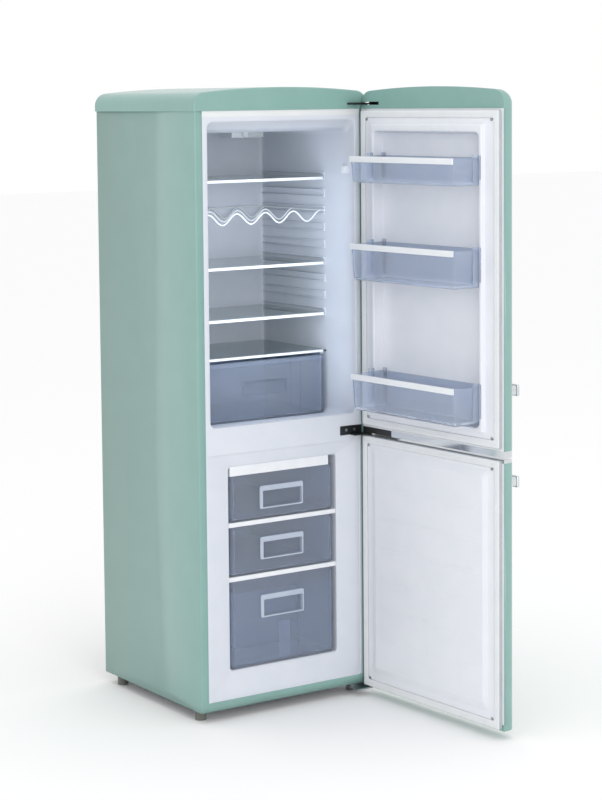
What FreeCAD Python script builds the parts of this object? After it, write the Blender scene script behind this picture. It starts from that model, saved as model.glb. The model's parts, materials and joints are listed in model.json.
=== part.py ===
import FreeCAD, Part
import math
import os
import re

# Bottom-freezer refrigerator with two doors, in millimetres.
# X points right, Y points to the back, Z points up. The origin is on the floor, midway between the feet.
# Every door piece is drawn with its door shut, then turned open about the hinge line.

sizes = {
    # cabinet
    "cabinet_width": 600, "cabinet_depth": 550, "body_height": 1719, "sheet": 1,
    "foot_height": 33, "foot_radius": 16.2, "foot_inset": 30, "foot_setback": 53, "stud_radius": 5,
    "stud_length": 18, "side_strip": 26, "bottom_strip": 26, "top_rail_height": 17, "freezer_front": 714,
    "base_thickness": 2, "back_recess": 20, "step_depth": 165, "step_height": 229,
    "cap_overhang": 3, "cap_back_overhang": 4, "cap_front_overhang": 2, "cap_side_rise": 16,
    "cap_shoulder": 54, "cap_crown": 66, "cap_shoulder_inset": 42, "cap_wall": 3, "cap_bulge": 0.29,
    # fridge compartment
    "liner_wall": 2, "fridge_wall": 44, "fridge_back_wall": 66, "divider_rise": 63, "floor_lip": 16,
    "lip_depth": 30, "ceiling_drop": 45, "ceiling_flare": 30, "flare_depth": 50,
    "guide_count": 9, "guide_pitch": 51.1, "guide_bottom": 306, "guide_height": 23, "guide_reach": 8,
    "guide_setback": 163, "groove_height": 17, "groove_depth": 6, "ledge_reach": 12, "ledge_height": 10,
    "glass_thickness": 5, "shelf_setback": 147, "shelf_drop": 5.5, "shelf_trim_depth": 12,
    "shelf_trim_height": 8,
    "slide_gap": 0.5, "side_gap": 1, "wire_radius": 2.8, "wave_depth": 32, "wave_count": 5,
    "wave_end_gap": 20,
    "crisper_setback": 135, "crisper_height": 176, "crisper_inset": 17, "crisper_wall": 2.5,
    "cover_rise": 186, "pull_width": 154, "pull_height": 43, "pull_centre": 22, "pull_rise": 74,
    "pull_depth": 10, "housing_width": 60, "housing_depth": 65, "housing_height": 22,
    "housing_right": 75, "housing_setback": 335, "lens_width": 55, "knob_radius": 9, "knob_length": 12,
    "running_gap": 0.05, "switch_rise": 737, "switch_setback": 42, "switch_size": 22, "switch_body": 10,
    "plunger_radius": 6, "plunger_reach": 2.5, "plunger_travel": 4,
    # freezer compartment
    "freezer_wall": 109, "freezer_back_wall": 75, "freezer_low": 78, "freezer_high": 40,
    "frame_inset": 22, "frame_low": 16, "frame_high": 7, "frame_depth": 14, "step_front": 335,
    "step_top": 267, "drawer_setback": 19, "drawer_gap": 10, "drawer_wall": 3.5, "low_drawer_height": 259,
    "middle_drawer_height": 146, "high_drawer_height": 136, "plate_thickness": 13, "grip_width": 137,
    "grip_height": 49, "low_grip_drop": 66, "middle_grip_drop": 54, "high_grip_drop": 53,
    "drawer_back_gap": 14, "bar_left": 8, "bar_right": 26,
    # machinery
    "compressor_radius": 68, "compressor_height": 140, "mount_height": 12, "mount_radius": 11,
    "mount_spacing": 110, "dome_share": 0.55, "compressor_right": 105, "tray_length": 210,
    "tray_width": 118, "tray_height": 24, "tray_wall": 2, "coil_radius": 2.5, "coil_half": 235,
    "coil_low": 320, "coil_pitch": 62, "coil_runs": 22, "gland_radius": 9,
    # hinges
    "hinge_inset": 14, "hinge_reach": 20, "door_open_angle": 93.1, "pin_radius": 4, "pin_clearance": 0.05,
    "bracket_thickness": 3, "bracket_width": 68, "bracket_end": 12, "door_gap": 5, "middle_gap_low": 755,
    "middle_plate_height": 24, "middle_plate_left": 102, "top_arm_rise": 13, "top_arm_thickness": 4,
    "low_arm_gap": 2, "screw_radius": 4, "screw_head": 2.4, "middle_pin": 16, "lower_pin": 9,
    "first_screw": 20, "second_screw": 50,
    # doors
    "door_thickness": 47.4, "door_edge_radius": 30, "gasket_thickness": 12.1, "gasket_gap": 0.5,
    "gasket_inset": 7.5, "liner_screw_inset": 8, "liner_screw_rise": 5, "gasket_width": 22,
    "gasket_edge": 4, "upper_trim_height": 18,
    "lower_trim_height": 10, "door_cap_crown": 62, "door_cap_shoulder": 52, "slot_low": 11,
    "slot_high": 20, "slot_reach": 64, "low_door_drop": 7, "end_cap_height": 18, "trim_block": 127.5,
    "upper_gasket_rise": 7, "upper_gasket_top": 4, "lower_gasket_rise": 4, "lower_gasket_high": 2,
    "land_offset": 3,
    "ridge_inset": 58, "ridge_width": 12, "ridge_height": 9, "ridge_low": 17, "ridge_high": 17,
    "ridge_top_width": 22, "recess_depth": 27, "plateau_inset": 43.5, "plateau_slope": 21,
    "plateau_height": 4, "plateau_low": 22.5, "handle_height": 34, "handle_reach": 50, "handle_length": 170,
    "handle_thickness": 12, "handle_end": 37.5, "handle_post": 22, "upper_handle_rise": 159,
    "lower_handle_drop": 59, "bin_clearance": 1, "bin_reach": 99, "bin_wall": 2.5, "bin_corner": 10,
    "ear_thickness": 14, "rail_height": 16, "rail_wall": 3,
    "low_bin_rise": 87, "middle_bin_rise": 466, "high_bin_rise": 748, "low_bin_height": 105,
    "middle_bin_height": 105, "high_bin_height": 75,
}

# what the sizes above put in place: fixed lines and planes of the cabinet
places = {
    "half_width": "=cabinet_width / 2",
    "front": "=-cabinet_depth / 2",
    "back": "=cabinet_depth / 2",
    "inside": "=half_width - sheet",
    "side_top": "=foot_height + body_height",
    "strip_top": "=foot_height + bottom_strip",
    "window_half": "=half_width - side_strip",
    "seam": "=strip_top + freezer_front",
    "rail_bottom": "=side_top - top_rail_height",
    "cavity_half": "=half_width - fridge_wall",
    "crisper_half": "=cavity_half - crisper_inset",
    "cavity_back": "=back - fridge_back_wall",
    "cavity_floor": "=seam + divider_rise",
    "cavity_ceiling": "=rail_bottom - ceiling_drop",
    "guide_low": "=cavity_floor + guide_bottom",
    "freezer_half": "=half_width - freezer_wall",
    "freezer_rear": "=back - freezer_back_wall",
    "freezer_floor": "=strip_top + freezer_low",
    "freezer_ceiling": "=seam - freezer_high",
    "frame_back": "=front + frame_depth",
    "frame_half": "=window_half - frame_inset",
    "panel_back": "=back - back_recess",
    "step_plane": "=back - step_depth",
    "step_roof": "=foot_height + step_height",
    "freezer_step": "=front + step_front",
    "freezer_step_top": "=foot_height + step_top",
    "base_top": "=foot_height + base_thickness",
    "hinge_x": "=half_width - hinge_inset",
    "hinge_y": "=front - hinge_reach",
    "door_back": "=front - gasket_gap - gasket_thickness",
    "door_front": "=door_back - door_thickness",
    "gap_low": "=foot_height + middle_gap_low",
    "gap_high": "=gap_low + door_gap",
    "upper_skin_low": "=gap_high + upper_trim_height",
    "lower_skin_high": "=gap_low - lower_trim_height",
    "lower_door_low": "=foot_height - low_door_drop",
    "lower_skin_low": "=lower_door_low + end_cap_height",
    "land": "=front - land_offset",
    "ridge_half": "=half_width - gasket_inset - ridge_inset",
    "recess_half": "=ridge_half - ridge_width",
    "recess_floor": "=front - recess_depth",
    "gasket_half": "=half_width - gasket_inset",
    "liner_half": "=gasket_half - gasket_width",
    "upper_ring_low": "=upper_skin_low + upper_gasket_rise",
    "upper_ring_high": "=side_top - upper_gasket_top",
    "lower_ring_low": "=lower_door_low + lower_gasket_rise",
    "upper_liner_low": "=upper_ring_low + gasket_width",
    "upper_liner_high": "=upper_ring_high - gasket_width",
    "lower_liner_low": "=lower_ring_low + gasket_width",
    "lower_liner_high": "=gap_low - lower_gasket_high - gasket_width",
    "ridge_bottom": "=upper_liner_low + ridge_low",
    "ridge_top": "=upper_liner_high - ridge_high",
    "cover_floor": "=cavity_floor + cover_rise",
    "compressor_floor": "=base_top + mount_height",
    "compressor_y": "=back - step_depth / 2",
    "coil_y": "=panel_back + 3 * coil_radius",
    "gland_x": "=compressor_right / 2 - coil_half",
    "arm_low": "=side_top + top_arm_rise",
    "low_arm_top": "=lower_door_low - low_arm_gap",
    "cap_half": "=half_width + cap_overhang",
}


doc = FreeCAD.newDocument("bottom_freezer_refrigerator")
owner = {}


def make_sheet(name, cells):
    sheet = doc.addObject("Spreadsheet::Sheet", name)
    for row, (word, text) in enumerate(cells.items(), 1):
        sheet.set(f"A{row}", word)
        sheet.set(f"B{row}", named(str(text)))
        sheet.setAlias(f"B{row}", word)
        owner[word] = name
    doc.recompute()
    return sheet


def named(text):
    """Put the name of its sheet before each size's or place's word."""
    return re.sub("[a-z_]+", lambda found: qualified(found.group()), str(text))


def qualified(word):
    return f"{owner[word]}.{word}" if word in owner else word


def size(word):
    return float(getattr(doc.getObject(owner[word]), word))


make_sheet("Sizes", sizes)
make_sheet("Places", places)

parts = []


# ---- helpers: each returns one document object ----

def block(name, across, along, up):
    """A box between two places on each axis."""
    item = doc.addObject("Part::Box", name)
    for length, axis, (low, high) in zip(("Length", "Width", "Height"), "xyz", (across, along, up)):
        item.setExpression(length, named(f"({high}) - ({low})"))
        item.setExpression("Placement.Base." + axis, named(low))
    return item


def rod(name, place, axis, radius, length):
    """A cylinder that starts at a place and runs along an axis."""
    item = doc.addObject("Part::Cylinder", name)
    item.Placement.Rotation = FreeCAD.Rotation(FreeCAD.Vector(0, 0, 1), FreeCAD.Vector(*axis))
    item.setExpression("Radius", named(radius))
    item.setExpression("Height", named(length))
    for letter, text in zip("xyz", place):
        item.setExpression("Placement.Base." + letter, named(text))
    return item


def prism(name, points, axis, low, high):
    """A flat outline on the two other axes, drawn out along one axis from low to high."""
    turned = {"x": lambda a, b: (low, a, b), "y": lambda a, b: (a, low, b), "z": lambda a, b: (a, b, low)}[axis]
    outline = [FreeCAD.Vector(*turned(*point)) for point in points]
    reach = FreeCAD.Vector(*[high - low if letter == axis else 0 for letter in "xyz"])
    item = doc.addObject("Part::Feature", name)
    item.Shape = Part.Face(Part.makePolygon(outline + outline[:1])).extrude(reach)
    return item


def frustum(name, near, far):
    """A four-sided solid between two upright rectangles, each half width, low, high and Y."""
    wires = []
    for half, low, high, y in (near, far):
        corners = [(-half, y, low), (half, y, low), (half, y, high), (-half, y, high), (-half, y, low)]
        wires.append(Part.makePolygon([FreeCAD.Vector(*corner) for corner in corners]))
    item = doc.addObject("Part::Feature", name)
    item.Shape = Part.makeLoft(wires, True, True)
    return item


def tube(name, points, radius):
    """A round bar along straight runs, with its bends left square."""
    path = Part.makePolygon([FreeCAD.Vector(*point) for point in points])
    start = path.Vertexes[0].Point
    circle = Part.Wire(Part.makeCircle(radius, start, path.Vertexes[1].Point - start))
    item = doc.addObject("Part::Feature", name)
    item.Shape = Part.Wire(path).makePipeShell([circle], True, False, 1)
    return item


def joined(name, *items):
    item = doc.addObject("Part::MultiFuse", name)
    item.Shapes = list(items)
    return item


def group(name, *items):
    item = doc.addObject("Part::Compound", name)
    item.Links = list(items)
    return item


def cut(name, base, *tools):
    item = doc.addObject("Part::Cut", name)
    item.Base = base
    item.Tool = tools[0] if len(tools) == 1 else joined(name + "_tools", *tools)
    return item


def rounded(name, base, radius, wanted):
    """Fillet the edges that the test picks."""
    doc.recompute()
    item = doc.addObject("Part::Fillet", name)
    item.Base = base
    chosen = [place for place, edge in enumerate(base.Shape.Edges, 1) if wanted(edge.BoundBox)]
    item.Edges = [(place, radius, radius) for place in chosen]
    return item


def upright(box):
    return box.XLength < 0.01 and box.YLength < 0.01


def sub_part(item):
    item.Label = item.Name
    parts.append(item)
    return item


def door_part(item):
    """A sub-part of a door: turned from its shut place to the open one about the hinge line."""
    item.Placement = FreeCAD.Placement(FreeCAD.Vector(), FreeCAD.Rotation(FreeCAD.Vector(0, 0, 1), 1))
    item.setExpression("Placement.Rotation.Angle", named("door_open_angle * 1 deg"))
    turn_x = "hinge_x - hinge_x * cos(door_open_angle) + hinge_y * sin(door_open_angle)"
    turn_y = "hinge_y - hinge_x * sin(door_open_angle) - hinge_y * cos(door_open_angle)"
    item.setExpression("Placement.Base.x", named(turn_x))
    item.setExpression("Placement.Base.y", named(turn_y))
    return sub_part(item)


def mirrored(name, across, along, up):
    """The same box on the left and on the right."""
    low, high = across
    left = block(name + "_left", (f"-({high})", f"-({low})"), along, up)
    right = block(name + "_right", across, along, up)
    return left, right


# ---- cabinet ----

def outer_shell():
    body = block("shell_body", ("-half_width", "half_width"), ("front", "back"), ("foot_height", "side_top"))
    inner = block("shell_inner", ("-inside", "inside"), ("front + sheet", "back + sheet"),
                  ("foot_height - sheet", "side_top - sheet"))
    window = block("shell_window", ("-window_half", "window_half"), ("front - sheet", "front + liner_wall"),
                   ("strip_top", "side_top + sheet"))
    sub_part(cut("outer_shell", body, inner, window))


def dome(name, inset):
    """The cap's solid: a shallow dome between rounded corners, drawn out from front to back."""
    half = size("cap_half") - inset
    base = size("side_top")
    side = base + size("cap_side_rise")
    shoulder_x = size("cap_half") - size("cap_shoulder_inset") - size("cap_bulge") * inset
    shoulder_z = base + size("cap_shoulder") - inset
    crown = base + size("cap_crown") - inset
    front = size("front") - size("cap_front_overhang") + inset
    back = size("back") + size("cap_back_overhang") - inset
    return domed_solid(name, (half, base, side, shoulder_x, shoulder_z, crown), front, back)


def domed_solid(name, profile, front, back):
    half, base, side, shoulder_x, shoulder_z, crown = profile
    bulge_x = half - size("cap_bulge") * (half - shoulder_x)
    bulge_z = shoulder_z - size("cap_bulge") * (shoulder_z - side)

    def at(x, z):
        return FreeCAD.Vector(x, front, z)

    edges = [
        Part.makeLine(at(-half, base), at(half, base)),
        Part.makeLine(at(half, base), at(half, side)),
        Part.Arc(at(half, side), at(bulge_x, bulge_z), at(shoulder_x, shoulder_z)).toShape(),
        Part.Arc(at(shoulder_x, shoulder_z), at(0, crown), at(-shoulder_x, shoulder_z)).toShape(),
        Part.Arc(at(-shoulder_x, shoulder_z), at(-bulge_x, bulge_z), at(-half, side)).toShape(),
        Part.makeLine(at(-half, side), at(-half, base)),
    ]
    item = doc.addObject("Part::Feature", name)
    item.Shape = Part.Face(Part.Wire(edges)).extrude(FreeCAD.Vector(0, back - front, 0))
    return item


def cabinet_cap():
    slot = block("cap_slot", ("hinge_x + bracket_end - bracket_width - side_gap", "cap_half + sheet"),
                 ("front - hinge_reach", "front + cap_wall"),
                 ("arm_low - side_gap", "arm_low + top_arm_thickness + side_gap"))
    hollow = dome("cap_hollow", size("cap_wall"))
    floor_gap = block("cap_underside", ("-cap_half + cap_wall", "cap_half - cap_wall"),
                      ("front + cap_wall", "back"), ("side_top - sheet", "side_top + cap_wall"))
    sub_part(cut("cabinet_cap", dome("cap_body", 0), hollow, floor_gap, slot))


def cabinet_covers():
    sub_part(block("top_rail", ("-window_half", "window_half"), ("front", "front + liner_wall"),
                   ("rail_bottom", "side_top")))
    sub_part(block("back_panel", ("-inside", "inside"), ("panel_back", "panel_back + sheet"),
                   ("step_roof", "side_top - sheet")))


def base_plate():
    body = block("base_sheet", ("-inside", "inside"), ("front + sheet", "back"), ("foot_height", "base_top"))
    holes = [rod(name + "_hole", (x, y, "foot_height - sheet"), (0, 0, 1), "stud_radius + running_gap",
                 "base_thickness + 2 * sheet") for name, x, y in foot_places()]
    sub_part(cut("base_plate", body, *holes))


def foot_places():
    for side, x in (("left", "foot_inset - half_width"), ("right", "half_width - foot_inset")):
        for end, y in (("front", "front + foot_setback"), ("back", "back - foot_setback")):
            yield f"{end}_{side}_foot", x, y


def levelling_feet():
    feet = []
    for name, x, y in foot_places():
        pad = rod(name + "_pad", (x, y, "0"), (0, 0, 1), "foot_radius", "foot_height")
        stud = rod(name + "_stud", (x, y, "foot_height"), (0, 0, 1), "stud_radius", "stud_length")
        feet.append(joined(name, pad, stud))
    sub_part(group("levelling_feet", *feet))


def cabinet_foam():
    cavity_side = "cavity_half + liner_wall"
    cold_side = "freezer_half + liner_wall"
    roof = "side_top - sheet"
    flare_back = "front + flare_depth + liner_wall"
    foam_front = "front + liner_wall"
    pieces = [
        *mirrored("foam_fridge_side", (cavity_side, "inside"), (foam_front, "panel_back"), ("seam", roof)),
        block("foam_fridge_back", ("-cavity_half - liner_wall", cavity_side),
              ("cavity_back + liner_wall", "panel_back"), ("seam", roof)),
        block("foam_ceiling", ("-cavity_half - liner_wall", cavity_side),
              (flare_back, "cavity_back + liner_wall"), ("cavity_ceiling + liner_wall", roof)),
        block("foam_ceiling_front", ("-cavity_half - liner_wall", cavity_side), (foam_front, flare_back),
              ("cavity_ceiling + ceiling_flare + 2 * liner_wall", roof)),
        block("foam_divider", ("-cavity_half - liner_wall", cavity_side),
              (foam_front, "cavity_back + liner_wall"), ("seam", "cavity_floor - liner_wall")),
        *mirrored("foam_freezer_side", (cold_side, "inside"), ("frame_back + liner_wall", "panel_back"),
                  ("step_roof", "seam")),
        *mirrored("foam_freezer_foot", (cold_side, "inside"), ("frame_back + liner_wall", "step_plane"),
                  ("strip_top", "step_roof")),
        block("foam_freezer_top", ("-freezer_half - liner_wall", cold_side),
              ("frame_back + liner_wall", "panel_back"), ("freezer_ceiling + liner_wall", "seam")),
        block("foam_freezer_back", ("-freezer_half - liner_wall", cold_side),
              ("freezer_rear + liner_wall", "panel_back"),
              ("freezer_step_top - liner_wall", "freezer_ceiling + liner_wall")),
        block("foam_step", ("-freezer_half - liner_wall", cold_side),
              ("freezer_step + liner_wall", "panel_back"), ("step_roof", "freezer_step_top - liner_wall")),
        block("foam_step_front", ("-freezer_half - liner_wall", cold_side),
              ("freezer_step + liner_wall", "step_plane"), ("strip_top", "step_roof")),
        block("foam_freezer_floor", ("-freezer_half - liner_wall", cold_side),
              ("frame_back + liner_wall", "freezer_step + liner_wall"),
              ("strip_top", "freezer_floor - liner_wall")),
    ]
    sub_part(group("cabinet_foam", *pieces))


# ---- fridge compartment ----

def guide_height_of(row):
    return f"guide_low + {row} * guide_pitch"


def guide_rails():
    """A grooved rail on each side wall for every row."""
    reach = "cavity_half - guide_reach"
    start = "front + guide_setback"
    rails = []
    for row in range(int(size("guide_count"))):
        middle = guide_height_of(row)
        bodies = mirrored(f"guide_{row}", (reach, "cavity_half"), (start, "cavity_back"),
                          (f"{middle} - guide_height / 2", f"{middle} + guide_height / 2"))
        grooves = mirrored(f"groove_{row}", (f"{reach} - sheet", f"{reach} + groove_depth"),
                           (f"{start} - sheet", "cavity_back - sheet"),
                           (f"{middle} - groove_height / 2", f"{middle} + groove_height / 2"))
        rails += [cut("grooved_" + body.Name, body, groove) for body, groove in zip(bodies, grooves)]
    return rails


def fridge_liner():
    outside = "cavity_half + liner_wall"
    flange = block("fridge_flange", ("-window_half", "window_half"), ("front", "front + liner_wall"),
                   ("seam", "rail_bottom"))
    box = block("fridge_box", (f"-({outside})", outside), ("front", "cavity_back + liner_wall"),
                ("cavity_floor - liner_wall", "cavity_ceiling + liner_wall"))
    cavity = block("fridge_cavity", ("-cavity_half", "cavity_half"), ("front - sheet", "cavity_back"),
                   ("cavity_floor", "cavity_ceiling"))
    half = size("cavity_half")
    wall = size("liner_wall")
    sheet = size("sheet")
    front = size("front")
    ceiling = size("cavity_ceiling")
    flare_top = ceiling + size("ceiling_flare")
    flare_back = front + size("flare_depth")
    flare = [(front - sheet, ceiling - sheet), (front - sheet, flare_top), (front, flare_top),
             (flare_back, ceiling - sheet)]
    flare_skin = [(front, ceiling), (front, flare_top + wall), (front + wall, flare_top + wall),
                  (flare_back + wall, ceiling)]
    under = size("cavity_floor") - wall
    lip_top = size("cavity_floor") + size("floor_lip")
    lip = [(front, under), (front, lip_top), (front + wall, lip_top), (front + size("lip_depth"), under)]
    ledges = mirrored("ledge", ("cavity_half - ledge_reach", "cavity_half"),
                      ("front + shelf_setback + shelf_trim_depth", "cavity_back"),
                      ("cover_floor - ledge_height", "cover_floor"))
    skin = joined("fridge_outside", flange, box, prism("flare_outside", flare_skin, "x", -half, half))
    shell = cut("fridge_shell", skin, cavity, prism("flare_inside", flare, "x", -half, half))
    floor_lip = prism("floor_lip_prism", lip, "x", -half, half)
    sub_part(joined("fridge_liner", shell, floor_lip, *guide_rails(), *ledges))


def glass_shelves():
    for word, row in (("low", 0), ("middle", 3), ("high", 8)):
        middle = guide_height_of(row) + " - shelf_drop"
        sub_part(block(f"{word}_shelf_glass",
                       ("-cavity_half + guide_reach - groove_depth + side_gap",
                        "cavity_half - guide_reach + groove_depth - side_gap"),
                       ("front + shelf_setback + shelf_trim_depth", "cavity_back - 2 * side_gap"),
                       (f"{middle} - glass_thickness / 2", f"{middle} + glass_thickness / 2")))
        sub_part(block(f"{word}_shelf_trim", ("-cavity_half + guide_reach + side_gap",
                                              "cavity_half - guide_reach - side_gap"),
                       ("front + shelf_setback", "front + shelf_setback + shelf_trim_depth"),
                       (f"{middle} - shelf_trim_height / 2", f"{middle} + shelf_trim_height / 2")))
    sub_part(block("crisper_cover", ("-cavity_half + side_gap", "cavity_half - side_gap"),
                   ("front + shelf_setback", "cavity_back - side_gap"),
                   ("cover_floor", "cover_floor + glass_thickness")))


def waved_wire(height):
    """A wire across the fridge that dips once for each bottle, drawn at Y 0, a little thinner than the rest."""
    reach = size("cavity_half") - size("guide_reach") + size("groove_depth") - 2 * size("side_gap")
    count = int(size("wave_count"))
    points = []
    for step in range(8 * count + 1):
        dip = size("wave_depth") / 2 * (1 - math.cos(2 * math.pi * step / 8))
        points.append(FreeCAD.Vector(reach * (step / (4 * count) - 1), 0, height - dip))
    curve = Part.BSplineCurve()
    curve.interpolate(points)
    circle = Part.Wire(Part.makeCircle(size("wire_radius") * 0.85, points[0], curve.tangent(0)[0]))
    return Part.Wire(curve.toShape()).makePipe(Part.Face(circle))


def bottle_rack():
    """Two straight side wires in the guide grooves, an end wire, and three waved wires for the bottles."""
    row = 6
    middle = guide_height_of(row)
    reach = "cavity_half - guide_reach + groove_depth - side_gap - wire_radius"
    near = "front + shelf_setback - 4 * side_gap"
    far = "cavity_back - 4 * side_gap"
    wires = []
    for word, x in (("left", f"-({reach})"), ("right", reach)):
        wires.append(rod(f"rack_{word}", (x, near, middle), (0, 1, 0), "wire_radius", f"({far}) - ({near})"))
    wires.append(rod("rack_back", (f"-({reach})", far, middle), (1, 0, 0), "0.9 * wire_radius",
                     f"2 * ({reach})"))
    first = size("front") + size("shelf_setback") + size("wave_end_gap")
    last = size("cavity_back") - size("wave_end_gap")
    for place, y in enumerate((first, (first + last) / 2, last)):
        item = doc.addObject("Part::Feature", f"rack_wave_{place}")
        item.Shape = waved_wire(size("guide_low") + row * size("guide_pitch"))
        item.Placement.Base.y = y
        wires.append(item)
    sub_part(joined("bottle_rack", *wires))


def crisper():
    low = "cavity_floor + 4 * slide_gap"
    high = f"{low} + crisper_height"
    near = "front + crisper_setback"
    far = "cavity_back - drawer_gap"
    body = block("crisper_body", ("-crisper_half", "crisper_half"), (near, far), (low, high))
    inner = block("crisper_inner", ("-crisper_half + crisper_wall", "crisper_half - crisper_wall"),
                  (f"{near} + pull_depth + crisper_wall", f"{far} - crisper_wall"),
                  (f"{low} + crisper_wall", f"{high} + sheet"))
    pull = block("crisper_pull", ("pull_centre - pull_width / 2", "pull_centre + pull_width / 2"),
                 (f"{near} - sheet", f"{near} + pull_depth"),
                 (f"{low} + pull_rise", f"{low} + pull_rise + pull_height"))
    sub_part(cut("crisper_drawer", body, inner, pull))


def lamp():
    left = "housing_right - housing_width / 2"
    right = "housing_right + housing_width / 2"
    near = "front + housing_setback"
    far = "front + housing_setback + housing_depth"
    low = "cavity_ceiling - housing_height"
    body = block("lamp_housing_body", (left, right), (near, far), (low, "cavity_ceiling"))
    knob_x = "housing_right + housing_width / 4"
    knob_z = f"{low} + housing_height / 2"
    shaft = f"{near} - knob_length / 2"
    bore = rod("knob_bore", (knob_x, f"{near} - sheet", knob_z), (0, 1, 0), "knob_radius / 2 + running_gap",
               "knob_length / 2 + sheet")
    sub_part(cut("lamp_housing", body, bore))
    sub_part(block("lamp_lens", (right, f"{right} + lens_width"), (near, far), (low, "cavity_ceiling")))
    grip = rod("knob_grip", (knob_x, f"{shaft} - side_gap", knob_z), (0, 1, 0), "knob_radius",
               "knob_length / 2")
    stem = rod("knob_stem", (knob_x, shaft, knob_z), (0, 1, 0), "knob_radius / 2", "knob_length - side_gap")
    sub_part(joined("thermostat_knob", grip, stem))


def door_switch():
    """A sprung plunger in a small housing on the right wall, just inside the front."""
    middle = "cavity_floor + switch_rise"
    y = "front + switch_setback"
    body = block("switch_body_block", ("cavity_half - switch_body", "cavity_half"),
                 (f"{y} - switch_size / 2", f"{y} + switch_size / 2"),
                 (f"{middle} - switch_size / 2", f"{middle} + switch_size / 2"))
    bore = rod("switch_bore", ("cavity_half - switch_body - sheet", y, middle), (1, 0, 0),
               "plunger_radius + running_gap", "switch_body + sheet / 2")
    sub_part(cut("switch_housing", body, bore))
    sub_part(group("switch_plunger",
                   rod("plunger_rod", ("cavity_half - switch_body - plunger_reach", y, middle), (1, 0, 0),
                       "plunger_radius", "switch_body - plunger_travel + plunger_reach - sheet")))


# ---- freezer compartment ----

def freezer_liner():
    flange = block("freezer_flange", ("-window_half", "window_half"), ("front", "front + liner_wall"),
                   ("strip_top", "seam"))
    wide = size("frame_half")
    narrow = size("freezer_half")
    wall = size("liner_wall")
    near = size("front")
    far = size("frame_back")
    low, high = size("strip_top") + size("frame_low"), size("seam") - size("frame_high")
    floor, ceiling = size("freezer_floor"), size("freezer_ceiling")
    outside = frustum("frame_outside", (wide + wall, low - wall, high + wall, near),
                      (narrow + wall, floor - wall, ceiling + wall, far + wall))
    inside = frustum("frame_inside", (wide, low, high, near), (narrow, floor, ceiling, far))
    mouth = block("frame_mouth", ("-frame_half", "frame_half"), ("front - sheet", "front"),
                  ("strip_top + frame_low", "seam - frame_high"))
    cold_side = "freezer_half + liner_wall"
    box = block("freezer_box", (f"-({cold_side})", cold_side), ("frame_back", "freezer_rear + liner_wall"),
                ("freezer_step_top - liner_wall", "freezer_ceiling + liner_wall"))
    box_front = block("freezer_box_front", (f"-({cold_side})", cold_side),
                      ("frame_back", "freezer_step + liner_wall"),
                      ("freezer_floor - liner_wall", "freezer_ceiling + liner_wall"))
    cavity = block("freezer_cavity", ("-freezer_half", "freezer_half"), ("frame_back", "freezer_rear"),
                   ("freezer_step_top", "freezer_ceiling"))
    cavity_front = block("freezer_cavity_front", ("-freezer_half", "freezer_half"),
                         ("frame_back - sheet / 10", "freezer_step"), ("freezer_floor", "freezer_ceiling"))
    sub_part(cut("freezer_liner", joined("freezer_outside", flange, outside, box, box_front),
                 inside, mouth, cavity, cavity_front))


def drawer_levels():
    """Name, low and high of each drawer, from the bottom up, with the plates between them."""
    low = "freezer_floor"
    for word in ("low", "middle", "high"):
        high = f"{low} + {word}_drawer_height"
        yield word, f"{low} + slide_gap", f"{high} - slide_gap", high
        low = f"{high} + plate_thickness"


def freezer_drawers():
    half = "freezer_half - drawer_gap"
    near = "front + drawer_setback"
    plates = []
    for word, low, high, top in drawer_levels():
        far = "freezer_step - drawer_gap" if word == "low" else "freezer_rear - drawer_back_gap"
        body = block(f"{word}_tray", (f"-({half})", half), (near, far), (low, high))
        inner = block(f"{word}_tray_inner", (f"-({half}) + drawer_wall", f"{half} - drawer_wall"),
                      (f"{near} + pull_depth + drawer_wall", f"{far} - drawer_wall"),
                      (f"{low} + drawer_wall", f"{high} + sheet"))
        grip_top = f"{high} - {word}_grip_drop"
        grip = block(f"{word}_grip", ("-grip_width / 2", "grip_width / 2"),
                     (f"{near} - sheet", f"{near} + pull_depth"), (f"{grip_top} - grip_height", grip_top))
        sub_part(cut(f"{word}_freezer_drawer", body, inner, grip))
        if word != "high":
            plates.append(block(f"{word}_plate", ("-freezer_half + side_gap", "freezer_half - side_gap"),
                                (f"{near} - sheet", "freezer_rear"), (top, f"{top} + plate_thickness")))
        else:
            sub_part(block("evaporator_bar", ("-freezer_half + bar_left", "freezer_half - bar_right"),
                           (f"{near} - sheet", f"{near} + 3 * pull_depth"), (top, "freezer_ceiling")))
    sub_part(group("evaporator_shelves", *plates))


# ---- machinery ----

def compressor():
    can = rod("compressor_can", ("compressor_right", "compressor_y", "compressor_floor"), (0, 0, 1),
              "compressor_radius", "compressor_height")
    middle = size("compressor_floor") + size("compressor_height") / 2
    can = rounded("compressor_dome", can, size("dome_share") * size("compressor_radius"),
                  lambda box: box.ZLength < 0.01 and box.ZMin > middle)
    reach = "mount_spacing / 2 + mount_radius"
    plate = block("compressor_foot", (f"compressor_right - ({reach})", f"compressor_right + {reach}"),
                  (f"compressor_y - ({reach})", f"compressor_y + {reach}"),
                  ("compressor_floor", "compressor_floor + bracket_thickness"))
    sub_part(joined("compressor", can, plate))
    mounts = []
    for side in "-+":
        for end in "-+":
            x = f"compressor_right {side} mount_spacing / 2"
            place = (x, f"compressor_y {end} mount_spacing / 2", "base_top")
            mounts.append(rod(f"mount_{len(mounts)}", place, (0, 0, 1), "mount_radius", "mount_height"))
    sub_part(group("compressor_mounts", *mounts))


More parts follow.
